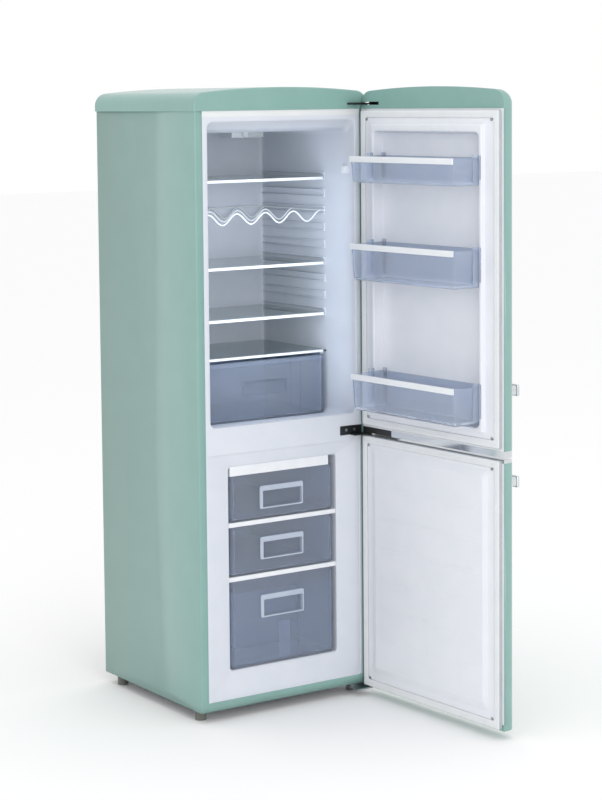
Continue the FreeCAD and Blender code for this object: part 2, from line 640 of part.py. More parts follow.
def evaporation_tray():
    low = "compressor_floor + compressor_height"
    body = block("tray_body", ("compressor_right - tray_length / 2", "compressor_right + tray_length / 2"),
                 ("compressor_y - tray_width / 2", "compressor_y + tray_width / 2"),
                 (low, f"{low} + tray_height"))
    inner = block("tray_inner", ("compressor_right - tray_length / 2 + tray_wall",
                                 "compressor_right + tray_length / 2 - tray_wall"),
                  ("compressor_y - tray_width / 2 + tray_wall", "compressor_y + tray_width / 2 - tray_wall"),
                  (f"{low} + tray_wall", f"{low} + tray_height + sheet"))
    sub_part(cut("evaporation_tray", body, inner))


def condenser_coil():
    """One serpentine tube on the recessed back, its two ends going down into the compressor space."""
    half, y = size("coil_half"), size("coil_y")
    points = [(half, y, size("step_roof") - size("mount_height"))]
    side = 1
    for run in range(int(size("coil_runs"))):
        height = size("coil_low") + run * size("coil_pitch")
        points += [(side * half, y, height), (-side * half, y, height)]
        side = -side
    sub_part(tube("condenser_coil", points, size("coil_radius")))


def cord_gland():
    """A round collar on a small plate behind the machine space, where the mains lead comes out."""
    behind = "back - 4 * sheet"
    height = "foot_height + step_height / 2"
    body = rod("gland_body", ("gland_x", behind, height), (0, 1, 0), "gland_radius", "3 * sheet")
    plate = block("gland_plate", ("gland_x - 3 * gland_radius", "gland_x + 3 * gland_radius"),
                  ("back - 6 * sheet", behind), ("base_top", "step_roof"))
    bore = rod("gland_bore", ("gland_x", "back - 7 * sheet", height), (0, 1, 0), "gland_radius / 2",
               "7 * sheet")
    sub_part(cut("cord_gland", joined("gland_outside", body, plate), bore))


# ---- hinge brackets ----

def arm(name, thickness, low, back):
    """A flat plate with a rounded end about the hinge line."""
    left = "hinge_x + bracket_end - bracket_width"
    height = (low, f"{low} + {thickness}")
    plate = block(name + "_plate", (left, "hinge_x"), ("hinge_y - bracket_end", back), height)
    wing = block(name + "_wing", ("hinge_x", "hinge_x + bracket_end"), ("hinge_y", back), height)
    end = rod(name + "_end", ("hinge_x", "hinge_y", low), (0, 0, 1), "bracket_end", thickness)
    return plate, wing, end


def hinge_brackets():
    left = "hinge_x + bracket_end - bracket_width"
    right = "hinge_x + bracket_end - sheet"
    pin_low = "side_top + sheet"
    pin = rod("top_pin", ("hinge_x", "hinge_y", pin_low), (0, 0, 1), "pin_radius", f"arm_low - ({pin_low})")
    riser = block("top_riser", (left, right), ("front + cap_wall + side_gap", "front + 3 * cap_wall"),
                  ("side_top", "arm_low + top_arm_thickness"))
    foot = block("top_foot", (left, right), ("front + cap_wall + side_gap", "front + flare_depth"),
                 ("side_top", "side_top + bracket_thickness"))
    top_arm = arm("top_arm", "top_arm_thickness", "arm_low", "front + 3 * cap_wall")
    sub_part(joined("top_hinge_bracket", *top_arm, riser, foot, pin))

    plate_low = "gap_low + side_gap"
    plate_high = f"{plate_low} + bracket_thickness + middle_plate_height"
    plate = block("middle_plate", ("hinge_x + bracket_end - middle_plate_left", "hinge_x - bracket_end"),
                  ("front - bracket_thickness", "front"), (plate_low, plate_high))
    upper_pin = rod("middle_pin_up", ("hinge_x", "hinge_y", plate_low), (0, 0, 1), "pin_radius",
                    "bracket_thickness + middle_pin")
    lower_pin = rod("middle_pin_down", ("hinge_x", "hinge_y", f"{plate_low} - lower_pin"), (0, 0, 1),
                    "pin_radius", "lower_pin")
    sub_part(joined("middle_hinge_bracket", *arm("middle_arm", "bracket_thickness", plate_low, "front"),
                    plate, upper_pin, lower_pin))

    low = "low_arm_top - top_arm_thickness"
    spacer = block("bottom_spacer", (left, right), ("front + bracket_thickness", "front + flare_depth / 2"),
                   (low, "foot_height"))
    pin = rod("bottom_pin", ("hinge_x", "hinge_y", "low_arm_top"), (0, 0, 1), "pin_radius",
              "low_arm_gap + middle_pin")
    bottom_arm = arm("bottom_arm", "top_arm_thickness", low, "front + flare_depth / 2")
    sub_part(joined("bottom_hinge_bracket", *bottom_arm, spacer, pin))


def screw(name, place, axis):
    return rod(name, place, axis, "screw_radius", "screw_head")


def hinge_screws():
    middle_height = "gap_low + side_gap + bracket_thickness + middle_plate_height / 2"
    screws = []
    for place in ("first_screw", "second_screw"):
        middle_x = f"hinge_x + bracket_end - middle_plate_left + {place}"
        middle_place = (middle_x, "front - bracket_thickness", middle_height)
        screws.append(screw("middle_" + place, middle_place, (0, -1, 0)))
        top_y = "front + flare_depth / 2 + bracket_thickness"
        top_place = (f"hinge_x - {place}", top_y, "side_top + bracket_thickness")
        screws.append(screw("top_" + place, top_place, (0, 0, 1)))
    sub_part(group("hinge_screws", *screws))


# ---- doors ----

def door_slab(name, low, high, inset="0"):
    """A door's plan with its two front edges rounded."""
    box = block(name + "_box", (f"-half_width + {inset}", f"half_width - {inset}"),
                (f"door_front + {inset}", "door_back"), (low, high))
    radius = size("door_edge_radius") - float(inset if inset == "0" else size(inset))
    middle = (size("door_front") + size("door_back")) / 2
    return rounded(name, box, radius, lambda edge: upright(edge) and edge.YMax < middle)


def pin_hole(name, low, high):
    return rod(name, ("hinge_x", "hinge_y", low), (0, 0, 1), "pin_radius + pin_clearance",
               f"({high}) - ({low})")


def door_skin(word, low, high):
    outer = door_slab(f"{word}_skin_outer", low, high)
    inner = door_slab(f"{word}_skin_inner", f"{low} - sheet", f"{high} + sheet", "sheet")
    door_part(cut(f"{word}_door_skin", outer, inner))


def door_foam(word, low, high, opening_low, opening_high, pocket, ridges=()):
    """Convex blocks: a front slab and a frame about the liner's recess, with the blocks inside its ridges."""
    side = "half_width - sheet"
    corner = "door_front + door_edge_radius"
    pocket_back = f"{pocket} - liner_wall"
    pieces = []
    if word == "upper":
        depth = (pocket_back, "door_back")
        pieces += mirrored("upper_foam_side", ("ridge_half - liner_wall", side), depth, (low, high))
        span = ("-ridge_half + liner_wall", "ridge_half - liner_wall")
        pieces.append(block("upper_foam_low", span, depth, (low, f"{opening_low} - liner_wall")))
        pieces.append(block("upper_foam_high", span, depth, (f"{opening_high} + liner_wall", high)))
        pieces.append(block("upper_foam_front", (f"-({side})", side), (corner, pocket_back), (low, high)))
    else:
        pieces.append(block("lower_foam_back", (f"-({side})", side), (corner, "door_back"), (low, high)))
    face_span = ("-half_width + door_edge_radius", "half_width - door_edge_radius")
    pieces.append(block(f"{word}_foam_face", face_span, ("door_front + sheet", corner), (low, high)))
    door_part(group(f"{word}_door_foam", *pieces, *ridges))


def gasket(word, low, high):
    outer = block(f"{word}_gasket_outer", ("-gasket_half", "gasket_half"), ("door_back", "front - gasket_gap"),
                  (low, high))
    opening = block(f"{word}_gasket_opening", ("-liner_half", "liner_half"), ("door_back - sheet", "front"),
                    (f"{low} + gasket_width", f"{high} - gasket_width"))
    face = size("front") - size("gasket_gap")
    edge = rounded(f"{word}_gasket_edge", outer, size("gasket_edge"), lambda box: box.YMin > face - 0.01)
    door_part(cut(f"{word}_door_gasket", edge, opening))


def handle(word, low):
    """A flat bar on two posts, with rounded bar ends."""
    high = f"{low} + handle_height"
    left = "-half_width + handle_end"
    right = f"{left} + handle_length"
    face = "door_front - handle_reach"
    bar = block(f"{word}_handle_bar", (left, right), (face, f"{face} + handle_thickness"), (low, high))
    near = size("door_front") - size("handle_reach") + size("sheet")
    bar = rounded(f"{word}_handle_round", bar, size("handle_thickness") / 2 - size("slide_gap"),
                  lambda box: upright(box) and box.YMax < near)
    depth = (f"{face} + handle_thickness / 2", "door_front")
    height = (f"{low} + side_gap", f"{high} - side_gap")
    outer = block(f"{word}_post_outer", (f"{left} + side_gap", f"{left} + handle_post"), depth, height)
    inner = block(f"{word}_post_inner", (f"{right} - handle_post", f"{right} - side_gap"), depth, height)
    door_part(joined(f"{word}_door_handle", bar, outer, inner))


def liner_screws(word, low, high):
    screws = []
    for side, x in (("left", "-liner_half + liner_screw_inset"), ("right", "liner_half - liner_screw_inset")):
        for end, z in (("low", f"{low} + liner_screw_rise"), ("high", f"{high} - liner_screw_rise")):
            screws.append(screw(f"{word}_screw_{side}_{end}", (x, "land", z), (0, 1, 0)))
    door_part(group(f"{word}_liner_screws", *screws))


def upper_door():
    low, high = "upper_skin_low", "side_top"
    door_skin("upper", low, high)
    ridge_span = ("ridge_half - ridge_width + liner_wall", "ridge_half - liner_wall")
    ridge_face = ("door_back", "front + ridge_height - liner_wall")
    ridge_foam = mirrored("ridge_foam", ridge_span, ridge_face,
                          ("ridge_bottom + ridge_width", "ridge_top - ridge_width"))
    door_foam("upper", low, high, "ridge_bottom", "ridge_top", "recess_floor", ridge_foam)
    gasket("upper", "upper_ring_low", "upper_ring_high")

    flange = block("upper_land", ("-liner_half", "liner_half"), ("door_back", "land"),
                   ("upper_liner_low", "upper_liner_high"))
    ridge = block("ridge_body", ("-ridge_half", "ridge_half"),
                  ("recess_floor - liner_wall", "front + ridge_height"), ("ridge_bottom", "ridge_top"))
    recess = block("ridge_recess", ("-recess_half", "recess_half"),
                   ("recess_floor", "front + ridge_height + sheet"),
                   ("ridge_bottom + ridge_width", "ridge_top - ridge_top_width"))
    under = "recess_floor - liner_wall - sheet"
    hollows = mirrored("ridge_hollow", ridge_span, (under, "front + ridge_height - liner_wall"),
                       ("ridge_bottom + liner_wall", "ridge_top - liner_wall"))
    pockets = mirrored("ridge_pocket", ("ridge_half - liner_wall", "half_width"), (under, "door_back"),
                       ("ridge_bottom", "ridge_top"))
    door_part(cut("upper_door_liner", joined("upper_liner_body", flange, ridge), recess, *hollows, *pockets))
    liner_screws("upper", "upper_liner_low", "upper_liner_high")

    crown, shoulder = size("door_cap_crown"), size("door_cap_shoulder")
    base = size("side_top")
    half = size("half_width")
    side = base + size("cap_side_rise")
    profile = (half, base, side, half - size("cap_shoulder_inset"), base + shoulder, base + crown)
    cap = domed_solid("door_cap_dome", profile, size("door_front"), size("door_back"))
    plan = door_slab("door_cap_plan", "side_top", "side_top + 2 * door_cap_crown")
    cap_body = doc.addObject("Part::MultiCommon", "door_cap_body")
    cap_body.Shapes = [cap, plan]
    slot = block("door_cap_slot", ("hinge_x - slot_reach", "half_width + sheet"),
                 ("hinge_y - hinge_reach", "door_back + sheet"),
                 ("side_top + slot_low", "side_top + slot_high"))
    hole = pin_hole("cap_pin_hole", "side_top - sheet", "side_top + slot_high")
    door_part(cut("upper_door_cap", cap_body, slot, hole))

    split = "half_width - trim_block"
    depth = ("door_front - sheet", "door_back + sheet")
    height = ("gap_high - sheet", f"{low} + sheet")
    trim = door_slab("upper_trim_slab", "gap_high", low)
    hinge_side = block("upper_trim_side", (split, "half_width + sheet"), depth, height)
    door_part(cut("upper_door_trim", trim, hinge_side))
    block_slab = door_slab("upper_block_slab", "gap_high", low)
    free_side = block("upper_block_side", ("-half_width - sheet", split), depth, height)
    hole = pin_hole("block_pin_hole", "gap_high - sheet", low)
    door_part(cut("upper_hinge_block", block_slab, free_side, hole))
    handle("upper", "gap_high + upper_handle_rise")


def lower_door():
    low, high = "lower_skin_low", "lower_skin_high"
    door_skin("lower", low, high)
    door_foam("lower", low, high, low, high, "door_back")
    gasket("lower", "lower_ring_low", "gap_low - lower_gasket_high")

    flange = block("lower_land", ("-liner_half", "liner_half"), ("door_back", "land"),
                   ("lower_liner_low", "lower_liner_high"))
    half = size("gasket_half") - size("plateau_inset")
    slope = size("plateau_slope")
    low_edge = size("lower_liner_low") + size("plateau_low")
    high_edge = size("lower_liner_high") - slope / 2
    land = size("land")
    top = size("front") + size("plateau_height")
    plateau = frustum("lower_plateau", (half, low_edge, high_edge, land),
                      (half - slope, low_edge + slope, high_edge - slope, top))
    door_part(joined("lower_door_liner", flange, plateau))
    liner_screws("lower", "lower_liner_low", "lower_liner_high")

    trim = door_slab("lower_trim_slab", high, "gap_low")
    door_part(cut("lower_door_trim", trim, pin_hole("lower_trim_hole", f"{high} - sheet", "gap_low + sheet")))
    end_cap = door_slab("lower_end_slab", "lower_door_low", low)
    door_part(cut("lower_end_cap", end_cap, pin_hole("end_cap_hole", "lower_door_low - sheet", low)))
    handle("lower", "gap_low - lower_handle_drop - handle_height")


def door_bin(word):
    """A tray that stands between the ridges, with two ears over them and a rail along its front."""
    low = f"gap_high + {word}_bin_rise"
    high = f"{low} + {word}_bin_height"
    half = "recess_half - bin_clearance"
    deep = "recess_floor + bin_clearance"
    near = "front + bin_reach"
    body = block(f"{word}_bin_body", (f"-({half})", half), (deep, near), (low, high))
    body = rounded(f"{word}_bin_round", body, size("bin_corner"), upright)
    inner = block(f"{word}_bin_hollow", (f"-({half}) + bin_wall", f"{half} - bin_wall"),
                  (f"{deep} + bin_wall", f"{near} - bin_wall"), (f"{low} + bin_wall", f"{high} + sheet"))
    inner = rounded(f"{word}_bin_inner", inner, size("bin_corner") - size("bin_wall"), upright)
    ear_face = "front + ridge_height + slide_gap"
    ears = mirrored(f"{word}_bin_ear", (f"{half} - bin_wall", "ridge_half - side_gap"),
                    (ear_face, f"{ear_face} + ear_thickness"), (f"{low} + rail_height", high))
    door_part(joined(f"{word}_door_bin", cut(f"{word}_bin_shell", body, inner), *ears))
    rail = block(f"{word}_rail_bar", (f"-({half}) + bin_corner / 2", f"{half} - bin_corner / 2"),
                 (near, f"{near} + rail_wall"), (f"{high} - rail_height", high))
    door_part(group(f"{word}_bin_rail", rail))


outer_shell()
cabinet_cap()
cabinet_covers()
base_plate()
levelling_feet()
cabinet_foam()
fridge_liner()
glass_shelves()
bottle_rack()
crisper()
lamp()
door_switch()
freezer_liner()
freezer_drawers()
compressor()
evaporation_tray()
condenser_coil()
cord_gland()
hinge_brackets()
hinge_screws()
upper_door()
lower_door()
for bin_word in ("low", "middle", "high"):
    door_bin(bin_word)

doc.recompute()
for item in doc.Objects:
    if "Invalid" in item.State or "Error" in item.State:
        raise RuntimeError(f"{item.Name} did not build: {item.State}")
for item in parts:
    if item.Shape.isNull() or not item.Shape.isValid() or not item.Shape.Solids:
        raise RuntimeError(f"{item.Name} has no valid solid")

os.makedirs("parts", exist_ok=True)
for item in parts:
    item.Shape.exportStep(f"parts/{item.Label}.step")
print(len(parts), "sub-parts written")
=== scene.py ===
import json
import math
import bpy
import bmesh
from mathutils import Matrix, Vector


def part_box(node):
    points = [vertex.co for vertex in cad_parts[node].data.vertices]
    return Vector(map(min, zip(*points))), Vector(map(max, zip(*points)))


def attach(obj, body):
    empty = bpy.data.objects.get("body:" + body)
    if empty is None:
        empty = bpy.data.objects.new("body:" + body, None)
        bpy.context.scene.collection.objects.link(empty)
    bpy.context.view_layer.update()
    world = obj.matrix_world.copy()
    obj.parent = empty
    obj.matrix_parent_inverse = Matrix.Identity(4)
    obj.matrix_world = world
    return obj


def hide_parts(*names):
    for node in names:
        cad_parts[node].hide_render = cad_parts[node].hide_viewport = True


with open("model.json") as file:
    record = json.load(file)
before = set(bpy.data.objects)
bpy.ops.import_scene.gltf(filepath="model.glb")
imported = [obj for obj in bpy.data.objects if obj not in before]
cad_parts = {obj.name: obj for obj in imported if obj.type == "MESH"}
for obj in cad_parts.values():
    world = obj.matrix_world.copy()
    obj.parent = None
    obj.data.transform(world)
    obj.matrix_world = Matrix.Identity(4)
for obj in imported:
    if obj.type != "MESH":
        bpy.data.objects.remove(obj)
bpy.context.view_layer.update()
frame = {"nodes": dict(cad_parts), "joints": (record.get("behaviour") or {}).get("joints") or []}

# A retro bottom-freezer refrigerator, drawn in millimetres and scaled to metres as each piece is finished.
mm = 0.001

# ---- places taken from the frame ----


def cad(node):
    low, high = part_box(node)
    return low / mm, high / mm


doorJoint = next(joint for joint in frame["joints"] if joint["name"] == "upper_door_hinge")
hingeLine = Vector((doorJoint["pos_m"][0], doorJoint["pos_m"][1], 0)) / mm
openTurn = math.radians(-doorJoint["range_deg"][0])  # from shut to the open place
swing = Matrix.Translation(hingeLine) @ Matrix.Rotation(openTurn, 4, "Z") @ Matrix.Translation(-hingeLine)


def shut(node):  # a door node's low and high corners with its door shut
    back = swing.inverted()
    places = [back @ (vertex.co / mm) for vertex in frame["nodes"][node].data.vertices]
    low = Vector([min(place[axis] for place in places) for axis in range(3)])
    high = Vector([max(place[axis] for place in places) for axis in range(3)])
    return low, high


# ---- camera ----

cameraView = {
    "place": (-3422.3, -5231.6, 1792.8),
    "turn": 0.5711,  # to the right of +Y, in radians
    "tilt": 0.0837,  # below the horizon, in radians
    "roll": -0.0122,
    "lens": 94.15,
    "shiftX": 0.108,
    "shiftY": -0.16,
}


def makeCamera():
    data = bpy.data.cameras.new("camera")
    camera = bpy.data.objects.new("camera", data)
    bpy.context.scene.collection.objects.link(camera)
    data.lens = cameraView["lens"]
    data.sensor_width = 36
    data.shift_x = cameraView["shiftX"]
    data.shift_y = cameraView["shiftY"]
    data.clip_start = 0.1
    data.clip_end = 100
    turn = Matrix.Rotation(-cameraView["turn"], 4, "Z")
    tilt = Matrix.Rotation(math.pi / 2 - cameraView["tilt"], 4, "X")
    roll = Matrix.Rotation(cameraView["roll"], 4, "Z")
    camera.matrix_world = Matrix.Translation(Vector(cameraView["place"]) * mm) @ turn @ tilt @ roll
    bpy.context.scene.camera = camera


makeCamera()
print("camera placed")

# ---- materials ----


def linear(hexColour):
    channels = [int(hexColour[place:place + 2], 16) / 255 for place in (1, 3, 5)]
    return [c / 12.92 if c <= 0.04045 else ((c + 0.055) / 1.055) ** 2.4 for c in channels] + [1]


def addNode(tree, kind, values=None, links=None, **settings):
    node = tree.nodes.new(kind)
    for name, value in settings.items():
        setattr(node, name, value)
    for name, value in (values or {}).items():
        node.inputs[name].default_value = value
    for name, source in (links or {}).items():
        tree.links.new(source, node.inputs[name])
    return node


cloudGrains = 40  # grains across one cloud of the faint colour variation


def newMaterial(name, colour, second, patternSize, bumpHeight, shade):
    # second is the colour of the faint variation, patternSize its grain in mm, bumpHeight its relief in mm
    material = bpy.data.materials.new(name)
    material.use_nodes = True
    tree = material.node_tree
    surface = tree.nodes["Principled BSDF"]
    place = addNode(tree, "ShaderNodeTexCoord").outputs["Object"]
    clouds = addNode(tree, "ShaderNodeTexNoise", {"Scale": 1 / (patternSize * cloudGrains * mm), "Detail": 3.0},
                     {"Vector": place})
    blend = addNode(tree, "ShaderNodeValToRGB", links={"Fac": clouds.outputs["Fac"]})
    blend.color_ramp.elements[0].position = 0.35
    blend.color_ramp.elements[0].color = linear(colour)
    blend.color_ramp.elements[1].position = 0.75
    blend.color_ramp.elements[1].color = linear(second)
    tree.links.new(blend.outputs["Color"], surface.inputs["Base Color"])
    grain = addNode(tree, "ShaderNodeTexNoise", {"Scale": 1 / (patternSize * mm), "Detail": 2.0},
                    {"Vector": place})
    bump = addNode(tree, "ShaderNodeBump", {"Strength": 0.25, "Distance": bumpHeight * mm},
                   {"Height": grain.outputs["Fac"]})
    tree.links.new(bump.outputs["Normal"], surface.inputs["Normal"])
    for socket, value in shade.items():
        surface.inputs[socket].default_value = value
    return material


mintEnamel = newMaterial(  # baked enamel on steel sheet: even colour, soft reflections with a faint orange peel
    "mint_baked_enamel", "#80a69f", "#84aaa3", 2.2, 0.03,
    {"Roughness": 0.32, "Coat Weight": 0.35, "Coat Roughness": 0.18, "IOR": 1.5})
whiteEnamel = newMaterial(  # the same enamel in white on the cabinet's front frame
    "white_baked_enamel", "#e2e3e3", "#dddfe0", 2.2, 0.02, {"Roughness": 0.35, "IOR": 1.5})
linerPlastic = newMaterial(  # vacuum-formed polystyrene: satin white with a cold cast
    "vacuum_formed_polystyrene", "#d5d9e1", "#d1d6df", 1.6, 0.02, {"Roughness": 0.42, "IOR": 1.59})
doorPlastic = newMaterial(  # the doors' inner liners, a little warmer
    "door_liner_polystyrene", "#e6e8ee", "#e2e5eb", 1.6, 0.02, {"Roughness": 0.4, "IOR": 1.59})
whitePlastic = newMaterial(  # injection-moulded ABS trims and rails
    "white_moulded_abs", "#e8ebee", "#e3e6ea", 1.0, 0.015, {"Roughness": 0.33, "IOR": 1.54})
drawerPlastic = newMaterial(  # tinted styrene of the drawers: blue grey, lets a little light through
    "blue_grey_styrene", "#e2ebfa", "#dce7f8", 1.4, 0.02,
    {"Roughness": 0.1, "IOR": 1.2, "Transmission Weight": 0.85})
rimPlastic = newMaterial(  # the same styrene where it is thin and lit: paler
    "pale_blue_styrene", "#cfdaea", "#c8d4e6", 1.4, 0.02,
    {"Roughness": 0.25, "IOR": 1.59, "Transmission Weight": 0.3})
binPlastic = newMaterial(  # clear styrene of the door bins, tinted cold
    "clear_tinted_styrene", "#edf3fd", "#e7effc", 1.4, 0.02,
    {"Roughness": 0.1, "IOR": 1.2, "Transmission Weight": 0.85})
shelfGlass = newMaterial(  # tempered float glass: clear, faintly green
    "tempered_float_glass", "#e4f0ee", "#e0eeeb", 30, 0.001,
    {"Roughness": 0.04, "IOR": 1.52, "Transmission Weight": 0.92})
chrome = newMaterial(  # bright chrome plating on zinc castings
    "bright_chrome_plate", "#d9dcdf", "#d4d8dc", 12, 0.004, {"Roughness": 0.1, "Metallic": 1.0})
gasketPaintedShade = newMaterial(  # extruded soft PVC in matte grey: painted shade on the seal's sides and pleats, which sit in shade
    "soft_pvc_painted_shade", "#b4babd", "#adb4b8", 1.2, 0.03, {"Roughness": 0.6, "IOR": 1.53})
gasketFace = newMaterial(  # the seal's own white, on its contact face
    "soft_pvc_white_face", "#e4e6e8", "#dfe2e4", 1.2, 0.03, {"Roughness": 0.55, "IOR": 1.53})
blackPlastic = newMaterial(  # black glass-filled nylon, moulded
    "black_moulded_nylon", "#1b1c1d", "#232425", 0.8, 0.03, {"Roughness": 0.5, "IOR": 1.53})
footPlastic = newMaterial(  # grey polypropylene feet
    "grey_polypropylene", "#6d6e68", "#62635e", 1.0, 0.05, {"Roughness": 0.55, "IOR": 1.49})
galvanised = newMaterial(  # zinc-coated steel sheet: dull, faintly spangled
    "galvanised_steel_sheet", "#a4a9ad", "#8f959a", 9, 0.01, {"Roughness": 0.42, "Metallic": 1.0})
zincSteel = newMaterial(  # zinc-plated pressed steel of the hinges
    "zinc_plated_steel", "#b6babd", "#a3a8ac", 3, 0.01, {"Roughness": 0.3, "Metallic": 1.0})
darkSteel = newMaterial(  # blackened steel with a dull shine
    "blackened_steel", "#4a4d50", "#3a3d40", 3, 0.02, {"Roughness": 0.35, "Metallic": 0.9})
blackEnamel = newMaterial(  # black stoved paint of the compressor and the condenser
    "black_stoved_paint", "#17191a", "#202324", 1.5, 0.03, {"Roughness": 0.38, "IOR": 1.5})
blackRubber = newMaterial(  # moulded rubber mounts
    "moulded_rubber", "#141414", "#1d1d1d", 1.0, 0.05, {"Roughness": 0.75, "IOR": 1.52})
foam = newMaterial(  # rigid polyurethane foam behind the liners
    "rigid_polyurethane_foam", "#d8c892", "#cbb97e", 2.0, 0.4, {"Roughness": 0.9, "IOR": 1.3})
lensPlastic = newMaterial(  # opal acrylic lamp lens
    "opal_acrylic", "#eef2f2", "#e7ecec", 1.0, 0.01,
    {"Roughness": 0.25, "IOR": 1.49, "Transmission Weight": 0.3})
whiteWire = newMaterial(  # plastic-dipped steel wire
    "plastic_dipped_wire", "#e6e9ec", "#dfe3e7", 1.5, 0.02, {"Roughness": 0.35, "IOR": 1.5})

print("materials made")

# ---- mesh helpers, all in millimetres ----


def roundBlock(bm, low, high, radius=1.0, segments=3, along=None, where=None):
    # a box with its edges rounded: all of them, those along one axis, or those that the test picks
    low, high = Vector(low), Vector(high)
    made = bmesh.ops.create_cube(bm, size=1)["verts"]
    bmesh.ops.scale(bm, vec=high - low, verts=made)
    bmesh.ops.translate(bm, vec=(low + high) / 2, verts=made)
    edges = {edge for vertex in made for edge in vertex.link_edges}
    if along is not None:
        edges = {edge for edge in edges if abs((edge.verts[0].co - edge.verts[1].co)[along]) > 0.01}
    if where is not None:
        edges = {edge for edge in edges if where((edge.verts[0].co + edge.verts[1].co) / 2)}
    if radius > 0:
        bmesh.ops.bevel(bm, geom=list(edges), offset=radius, offset_type="OFFSET", segments=segments,
                        profile=0.5, affect="EDGES", material=-1, clamp_overlap=True)


def rod(bm, start, axis, radius, length, sides=24):
    # a capped cylinder from a start point along an axis
    turn = Vector((0, 0, 1)).rotation_difference(Vector(axis)).to_matrix().to_4x4()
    place = Matrix.Translation(Vector(start) + Vector(axis) * length / 2) @ turn
    bmesh.ops.create_cone(bm, cap_ends=True, cap_tris=False, segments=sides, radius1=radius, radius2=radius,
                          depth=length, matrix=place)


def roundedLoop(bm, axis, level, low, high, radius):
    # the edges of a rounded rectangle across one axis; low and high give the two other axes in order
    flat = [(low[0], low[1]), (high[0], low[1]), (high[0], high[1]), (low[0], high[1])]
    places = []
    for pair in flat:
        place = list(pair)
        place.insert(axis, level)
        places.append(Vector(place))
    face = bm.faces.new([bm.verts.new(place) for place in places])
    cut = bmesh.ops.bevel(bm, geom=list(face.verts), offset=radius, offset_type="OFFSET", segments=6,
                          profile=0.5, affect="VERTICES", material=-1)
    faces = {face for vertex in cut["verts"] for face in vertex.link_faces}
    edges = list({edge for face in faces for edge in face.edges})
    bmesh.ops.delete(bm, geom=list(faces), context="FACES_ONLY")
    return edges


def loft(bm, loops, capFirst=False, capLast=True):
    # skin between loops in order; each loop is its axis, level, low, high and corner radius
    rings = [roundedLoop(bm, *loop) for loop in loops]
    for first, second in zip(rings, rings[1:]):
        bmesh.ops.bridge_loops(bm, edges=first + second)
    for wanted, ring in ((capFirst, rings[0]), (capLast, rings[-1])):
        if wanted:
            bmesh.ops.contextual_create(bm, geom=ring)
    return bm


def carved(bm, cutter):
    # the first shape less the second
    made = []
    for name, shape in (("carvedBody", bm), ("carvedCutter", cutter)):
        bmesh.ops.recalc_face_normals(shape, faces=shape.faces)
        mesh = bpy.data.meshes.new(name)
        shape.to_mesh(mesh)
        shape.free()
        item = bpy.data.objects.new(name, mesh)
        bpy.context.scene.collection.objects.link(item)
        made.append(item)
    body, tool = made
    modifier = body.modifiers.new("carve", "BOOLEAN")
    modifier.operation = "DIFFERENCE"
    modifier.solver = "EXACT"
    modifier.object = tool
    bpy.context.view_layer.update()
    evaluated = body.evaluated_get(bpy.context.evaluated_depsgraph_get())
    result = bmesh.new()
    result.from_mesh(evaluated.to_mesh())
    for item in made:
        bpy.data.objects.remove(item)
    return result


def thicken(piece, wall, offset):
    # a sheet gets its wall in mm; offset 0 is to both sides, -1 inwards
    modifier = piece.modifiers.new("wall", "SOLIDIFY")
    modifier.thickness = wall * mm
    modifier.offset = offset


def finishPiece(bm, name, body, materials, replaced=(), door=False, angle=35, wall=0):
    # scale to metres, turn door pieces open, shade and put the piece on its body
    bmesh.ops.remove_doubles(bm, verts=bm.verts, dist=0.002)
    bmesh.ops.recalc_face_normals(bm, faces=bm.faces)
    if door:
        bmesh.ops.transform(bm, matrix=swing, verts=bm.verts)
    bmesh.ops.scale(bm, vec=(mm, mm, mm), verts=bm.verts)
    mesh = bpy.data.meshes.new(name)
    bm.to_mesh(mesh)
    bm.free()
    mesh.shade_smooth()
    mesh.set_sharp_from_angle(angle=math.radians(angle))
    for material in materials if isinstance(materials, (list, tuple)) else [materials]:
        mesh.materials.append(material)
    piece = bpy.data.objects.new(name, mesh)
    bpy.context.scene.collection.objects.link(piece)
    if wall:
        thicken(piece, wall, 0)
    modifier = piece.modifiers.new("evenShading", "WEIGHTED_NORMAL")
    modifier.keep_sharp = True
    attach(piece, body)
    if replaced:
        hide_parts(*replaced)
    return piece


def dress(node, material, edge):
    # a CAD node keeps its shape and gets a material and edges softened by edge in mm
    item = frame["nodes"][node]
    if item.data.materials:
        item.data.materials[0] = material
    else:
        item.data.materials.append(material)
    if edge:
        modifier = item.modifiers.new("edge", "BEVEL")
        modifier.width = edge * mm
        modifier.segments = 2
        modifier.limit_method = "ANGLE"
        modifier.angle_limit = math.radians(40)
        modifier.harden_normals = True


# ---- cabinet shell and cap ----

shellDetail = {"edgeRound": 5, "wall": 1}


def makeOuterShell():
    low, high = cad("outer_shell")
    windowLow = cad("freezer_liner")[0]
    bm = bmesh.new()
    roundBlock(bm, low, high, shellDetail["edgeRound"], 6, along=2, where=lambda place: place.y < 0)
    planes = [((windowLow.x, 0, 0), (1, 0, 0)), ((-windowLow.x, 0, 0), (1, 0, 0)),
              ((0, 0, windowLow.z), (0, 0, 1))]
    for place, normal in planes:
        geometry = bm.verts[:] + bm.edges[:] + bm.faces[:]
        bmesh.ops.bisect_plane(bm, geom=geometry, plane_co=place, plane_no=normal)
    away = []
    for face in bm.faces:
        middle = face.calc_center_median()
        isWindow = abs(middle.y - low.y) < 0.1 and abs(middle.x) < -windowLow.x and middle.z > windowLow.z
        isBack = abs(middle.y - high.y) < 0.1
        isUnder = abs(middle.z - low.z) < 0.1
        if isWindow or isBack or isUnder:
            away.append(face)
    bmesh.ops.delete(bm, geom=away, context="FACES")
    piece = finishPiece(bm, "outerShell", "cabinet", mintEnamel, ["outer_shell"])
    thicken(piece, shellDetail["wall"], -1)


capDetail = {
    "sideRise": 16, "shoulder": 54, "shoulderInset": 42, "frontRound": 5, "planRound": 6,
    "doorShoulder": 52, "doorFrontRound": 34, "doorPlanRound": 30,
}


